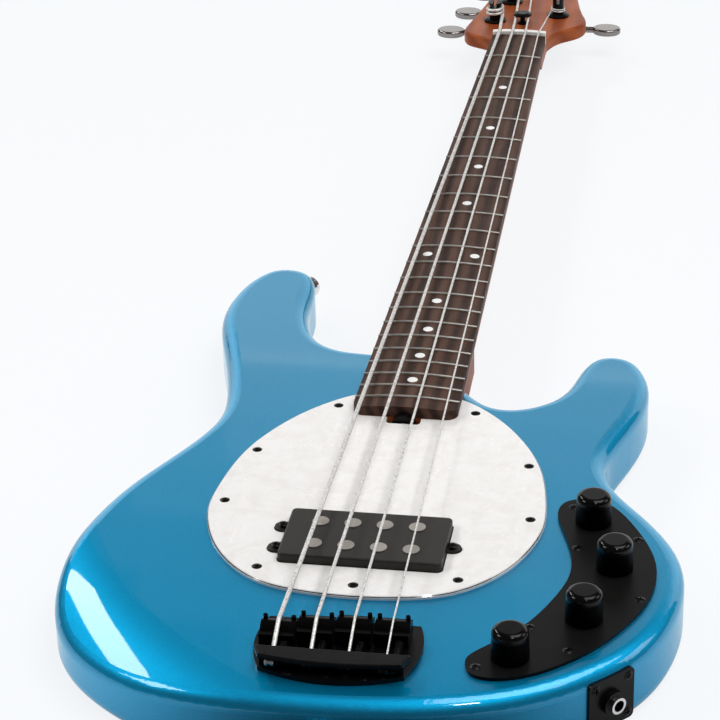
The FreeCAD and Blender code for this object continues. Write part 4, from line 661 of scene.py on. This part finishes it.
spring, springKeys = springTree(finishes["black_metal"])
for i, letter in enumerate(stringSet["names"]):
    corner = saddleCorner(i)
    margin = springSet["gap"] + springSet["wire"] / 2
    front = -stringSet["wallFront"] + margin
    length = corner.y - springSet["saddleBack"] - margin - front
    place = (corner.x + springSet["offset"], front, springSet["height"])
    seed = newObject("springSeed", bpy.data.meshes.new("springSeed"))
    coil = bakeTree(f"spring_{letter}", seed, spring, springKeys, {
        "Turns": length / springSet["pitch"], "Radius": springSet["coil"], "Length": length,
        "Wire": springSet["wire"], "Place": place})
    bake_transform(coil)
    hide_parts("intonation_springs")
print("springs coiled")


# ball ends, turned about the X axis: two flanges with a waist between them
# the E string's ball end is nickel; the other three take black plating as painted shade where the bridge
# hangs over them
ballEnd = {"radius": 0.0023, "half": 0.0024, "waist": 0.0017, "waistHalf": 0.2, "flange": (0.4, 0.85),
           "rim": 0.9, "segments": 32, "slots": ("nickel", "black_metal", "black_metal", "black_metal")}


def ballProfile(look):
    radius, half, waist = look["radius"], look["half"], look["waist"]
    right = [(waist, half * look["waistHalf"]), *((radius, half * share) for share in look["flange"]),
             (radius * look["rim"], half), (waist, half)]
    return [(wide, -along) for wide, along in reversed(right)] + right


def makeBall(name, look, centre, material):
    work = bmesh.new()
    count = look["segments"]
    rings = []
    for radius, along in ballProfile(look):
        angles = [2 * math.pi * k / count for k in range(count)]
        rings.append([work.verts.new(centre + Vector((along, -math.cos(a) * radius, -math.sin(a) * radius)))
                      for a in angles])
    for low, high in zip(rings, rings[1:]):
        for k in range(count):
            work.faces.new((low[k], low[(k + 1) % count], high[(k + 1) % count], high[k]))
    work.faces.new(rings[0])
    work.faces.new(list(reversed(rings[-1])))
    bmesh.ops.recalc_face_normals(work, faces=work.faces)
    mesh = bpy.data.meshes.new(name)
    work.to_mesh(mesh)
    work.free()
    mesh.materials.append(material)
    return newObject(name, mesh)


for i, letter in enumerate(stringSet["names"]):
    slot = ballEnd["slots"][i]
    ball = makeBall(f"ball_{letter}", ballEnd, tailRoute(i)[0], finishes[slot])
    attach(ball, "instrument")
    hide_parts("strings")
print("ball ends turned")


# rubber sleeves under the pickup's ears, copied from the CAD mesh as they stand
def softSleeves(name, node):
    mesh = nodes[node].data.copy()
    mesh.name = name
    mesh.transform(nodes[node].matrix_world)
    piece = newObject(name, mesh)
    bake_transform(piece)
    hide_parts(node)


softSleeves("soft_sleeves", "pickup_sleeves")


# floor: seen as white paper, with painted shade in its reflections in front of the tail and to the right
stageLook = {"floor": (0.90, 0.91, 0.93), "glow": (0.962, 0.98, 1.0), "size": 30.0, "under": 0.0002,
             "cloudSize": 1.5, "cloudGain": 0.98, "shadeGain": 0.05, "seenShare": 0.86,
             "shadeScale": (1.0, 0.2, 1.0), "shadePlace": (0.03, -0.13, 0.0), "shadeReach": (0.10, 0.24),
             "shadeShare": (0.97, 0.0), "mirrorShadeSide": (-0.2, 0.2), "mirrorShadeShare": (0.02, 0.38)}


def makeStage(look):
    mesh = bpy.data.meshes.new("studioFloor")
    half = look["size"]
    low = cadBox[0][2] - look["under"]
    corners = [(-half, -half, low), (half, -half, low), (half, half, low), (-half, half, low)]
    mesh.from_pydata(corners, [], [(0, 1, 2, 3)])
    floor = newObject("studioFloor", mesh)
    material, tree = emptyMaterial("studioFloor")
    cloud = noise(tree, objectPoint(tree), look["cloudSize"])
    paper = mixColour(tree, cloud, rgba(look["floor"], look["cloudGain"]), rgba(look["floor"]))
    matte = addNode(tree, "ShaderNodeBsdfDiffuse", {"Color": paper})
    white = addNode(tree, "ShaderNodeEmission", {"Color": rgba(look["glow"]), "Strength": 1.0})
    # a dark diffuse floor for glossy rays near the tail: painted shade in reflections
    dark = addNode(tree, "ShaderNodeBsdfDiffuse", {"Color": rgba(look["floor"], look["shadeGain"])})
    path = addNode(tree, "ShaderNodeLightPath").outputs
    mirrored = path["Is Glossy Ray"]
    seen = math2(tree, "MAXIMUM", path["Is Camera Ray"], mirrored)
    seen = math2(tree, "MAXIMUM", seen, path["Is Transmission Ray"])
    # glossy rays see less of the white towards the right: painted shade in reflections
    sideShade = stretch(tree, objectAxis(tree, 0), *look["mirrorShadeSide"], *look["mirrorShadeShare"], True)
    share = math2(tree, "SUBTRACT", math2(tree, "MULTIPLY", seen, look["seenShare"]),
                  math2(tree, "MULTIPLY", mirrored, sideShade))
    mixed = addNode(tree, "ShaderNodeMixShader", {0: share, 1: matte.outputs[0], 2: white.outputs[0]})
    away = addNode(tree, "ShaderNodeVectorMath", {
        0: objectPoint(tree, look["shadeScale"]), 1: look["shadePlace"]}, operation="DISTANCE")
    paintedShade = stretch(tree, away.outputs["Value"], *look["shadeReach"], *look["shadeShare"], True)
    paintedShade = math2(tree, "MULTIPLY", mirrored, paintedShade)
    mixed = addNode(tree, "ShaderNodeMixShader", {0: paintedShade, 1: mixed.outputs[0], 2: dark.outputs[0]})
    addNode(tree, "ShaderNodeOutputMaterial", {0: mixed.outputs[0]})
    mesh.materials.append(material)


worldLook = {"colour": (0.97, 0.98, 1.0), "strength": 0.10}


def makeWorld(look):
    world = bpy.data.worlds.new("studioWorld")
    world.use_nodes = True
    sky = world.node_tree.nodes["Background"].inputs
    sky[0].default_value = rgba(look["colour"])
    sky[1].default_value = look["strength"]
    scene.world = world


# soft boxes: place, aim and size in metres, roll in degrees, glow is the brightness of the lit face
softBoxes = {
    "leftBox": {"place": (-1.738, 1.637, 1.960), "aim": (-0.125, -0.005, 0.036), "size": (0.43, 1.09),
                "glow": 10.5, "roll": -50.0},
    "sideBox": {"place": (-1.38, -0.09, 1.36), "aim": (0.1, 0.1, 0.05), "size": (0.6, 0.5), "glow": 9.0},
    "overBox": {"place": (0.80, 0.20, 2.10), "aim": (0.05, 0.05, 0.0), "size": (1.4, 1.4), "glow": 4.4},
    "rightBox": {"place": (1.70, 0.60, 1.00), "aim": (0.15, 0.1, 0.04), "size": (0.8, 0.6), "glow": 3.0},
    "knobBox": {"place": (0.55, -0.86, 1.74), "aim": (0.13, 0.1, 0.05), "size": (0.17, 0.22), "glow": 40.0},
    "backWall": {"place": (0.0, 4.5, 1.15), "aim": (0.0, 0.0, 1.15), "size": (8.0, 2.3), "glow": 1.12},
}


def makeSoftBox(name, look):
    data = bpy.data.lights.new(name, "AREA")
    data.shape = "RECTANGLE"
    data.size, data.size_y = look["size"]
    data.energy = look["glow"] * math.pi * look["size"][0] * look["size"][1]
    lamp = newObject(name, data)
    lamp.location = look["place"]
    turn = (Vector(look["aim"]) - Vector(look["place"])).to_track_quat("-Z", "Y")
    roll = Quaternion((0, 0, 1), math.radians(look.get("roll", 0.0)))
    lamp.rotation_euler = (turn @ roll).to_euler()


# the back wall's light fades out upwards in narrow strips, and to the left in layers
backFade = {"rows": 8, "layers": 4, "away": 4.5, "low": 2.38, "tall": 0.16, "right": 4.0, "left": -2.9,
            "leftGrow": 0.25, "layerGap": 0.5, "layerDepth": 0.02, "glow": 0.80}


def fadeStrip(look, row, layer):
    left = look["left"] + look["leftGrow"] * row + look["layerGap"] * layer
    middle = (left + look["right"]) / 2
    height = look["low"] + look["tall"] * row
    away = look["away"] + look["layerDepth"] * layer
    share = (1 - row / look["rows"]) / look["layers"]
    return {"place": (middle, away, height), "aim": (middle, 0.0, height),
            "size": (look["right"] - left, look["tall"]), "glow": look["glow"] * share}


makeStage(stageLook)
makeWorld(worldLook)
for name, look in softBoxes.items():
    makeSoftBox(name, look)
for row in range(backFade["rows"]):
    for layer in range(backFade["layers"]):
        makeSoftBox(f"backFade{row}_{layer}", fadeStrip(backFade, row, layer))
scene.view_settings.view_transform = "Standard"
print("stage lit")

bpy.context.view_layer.update()
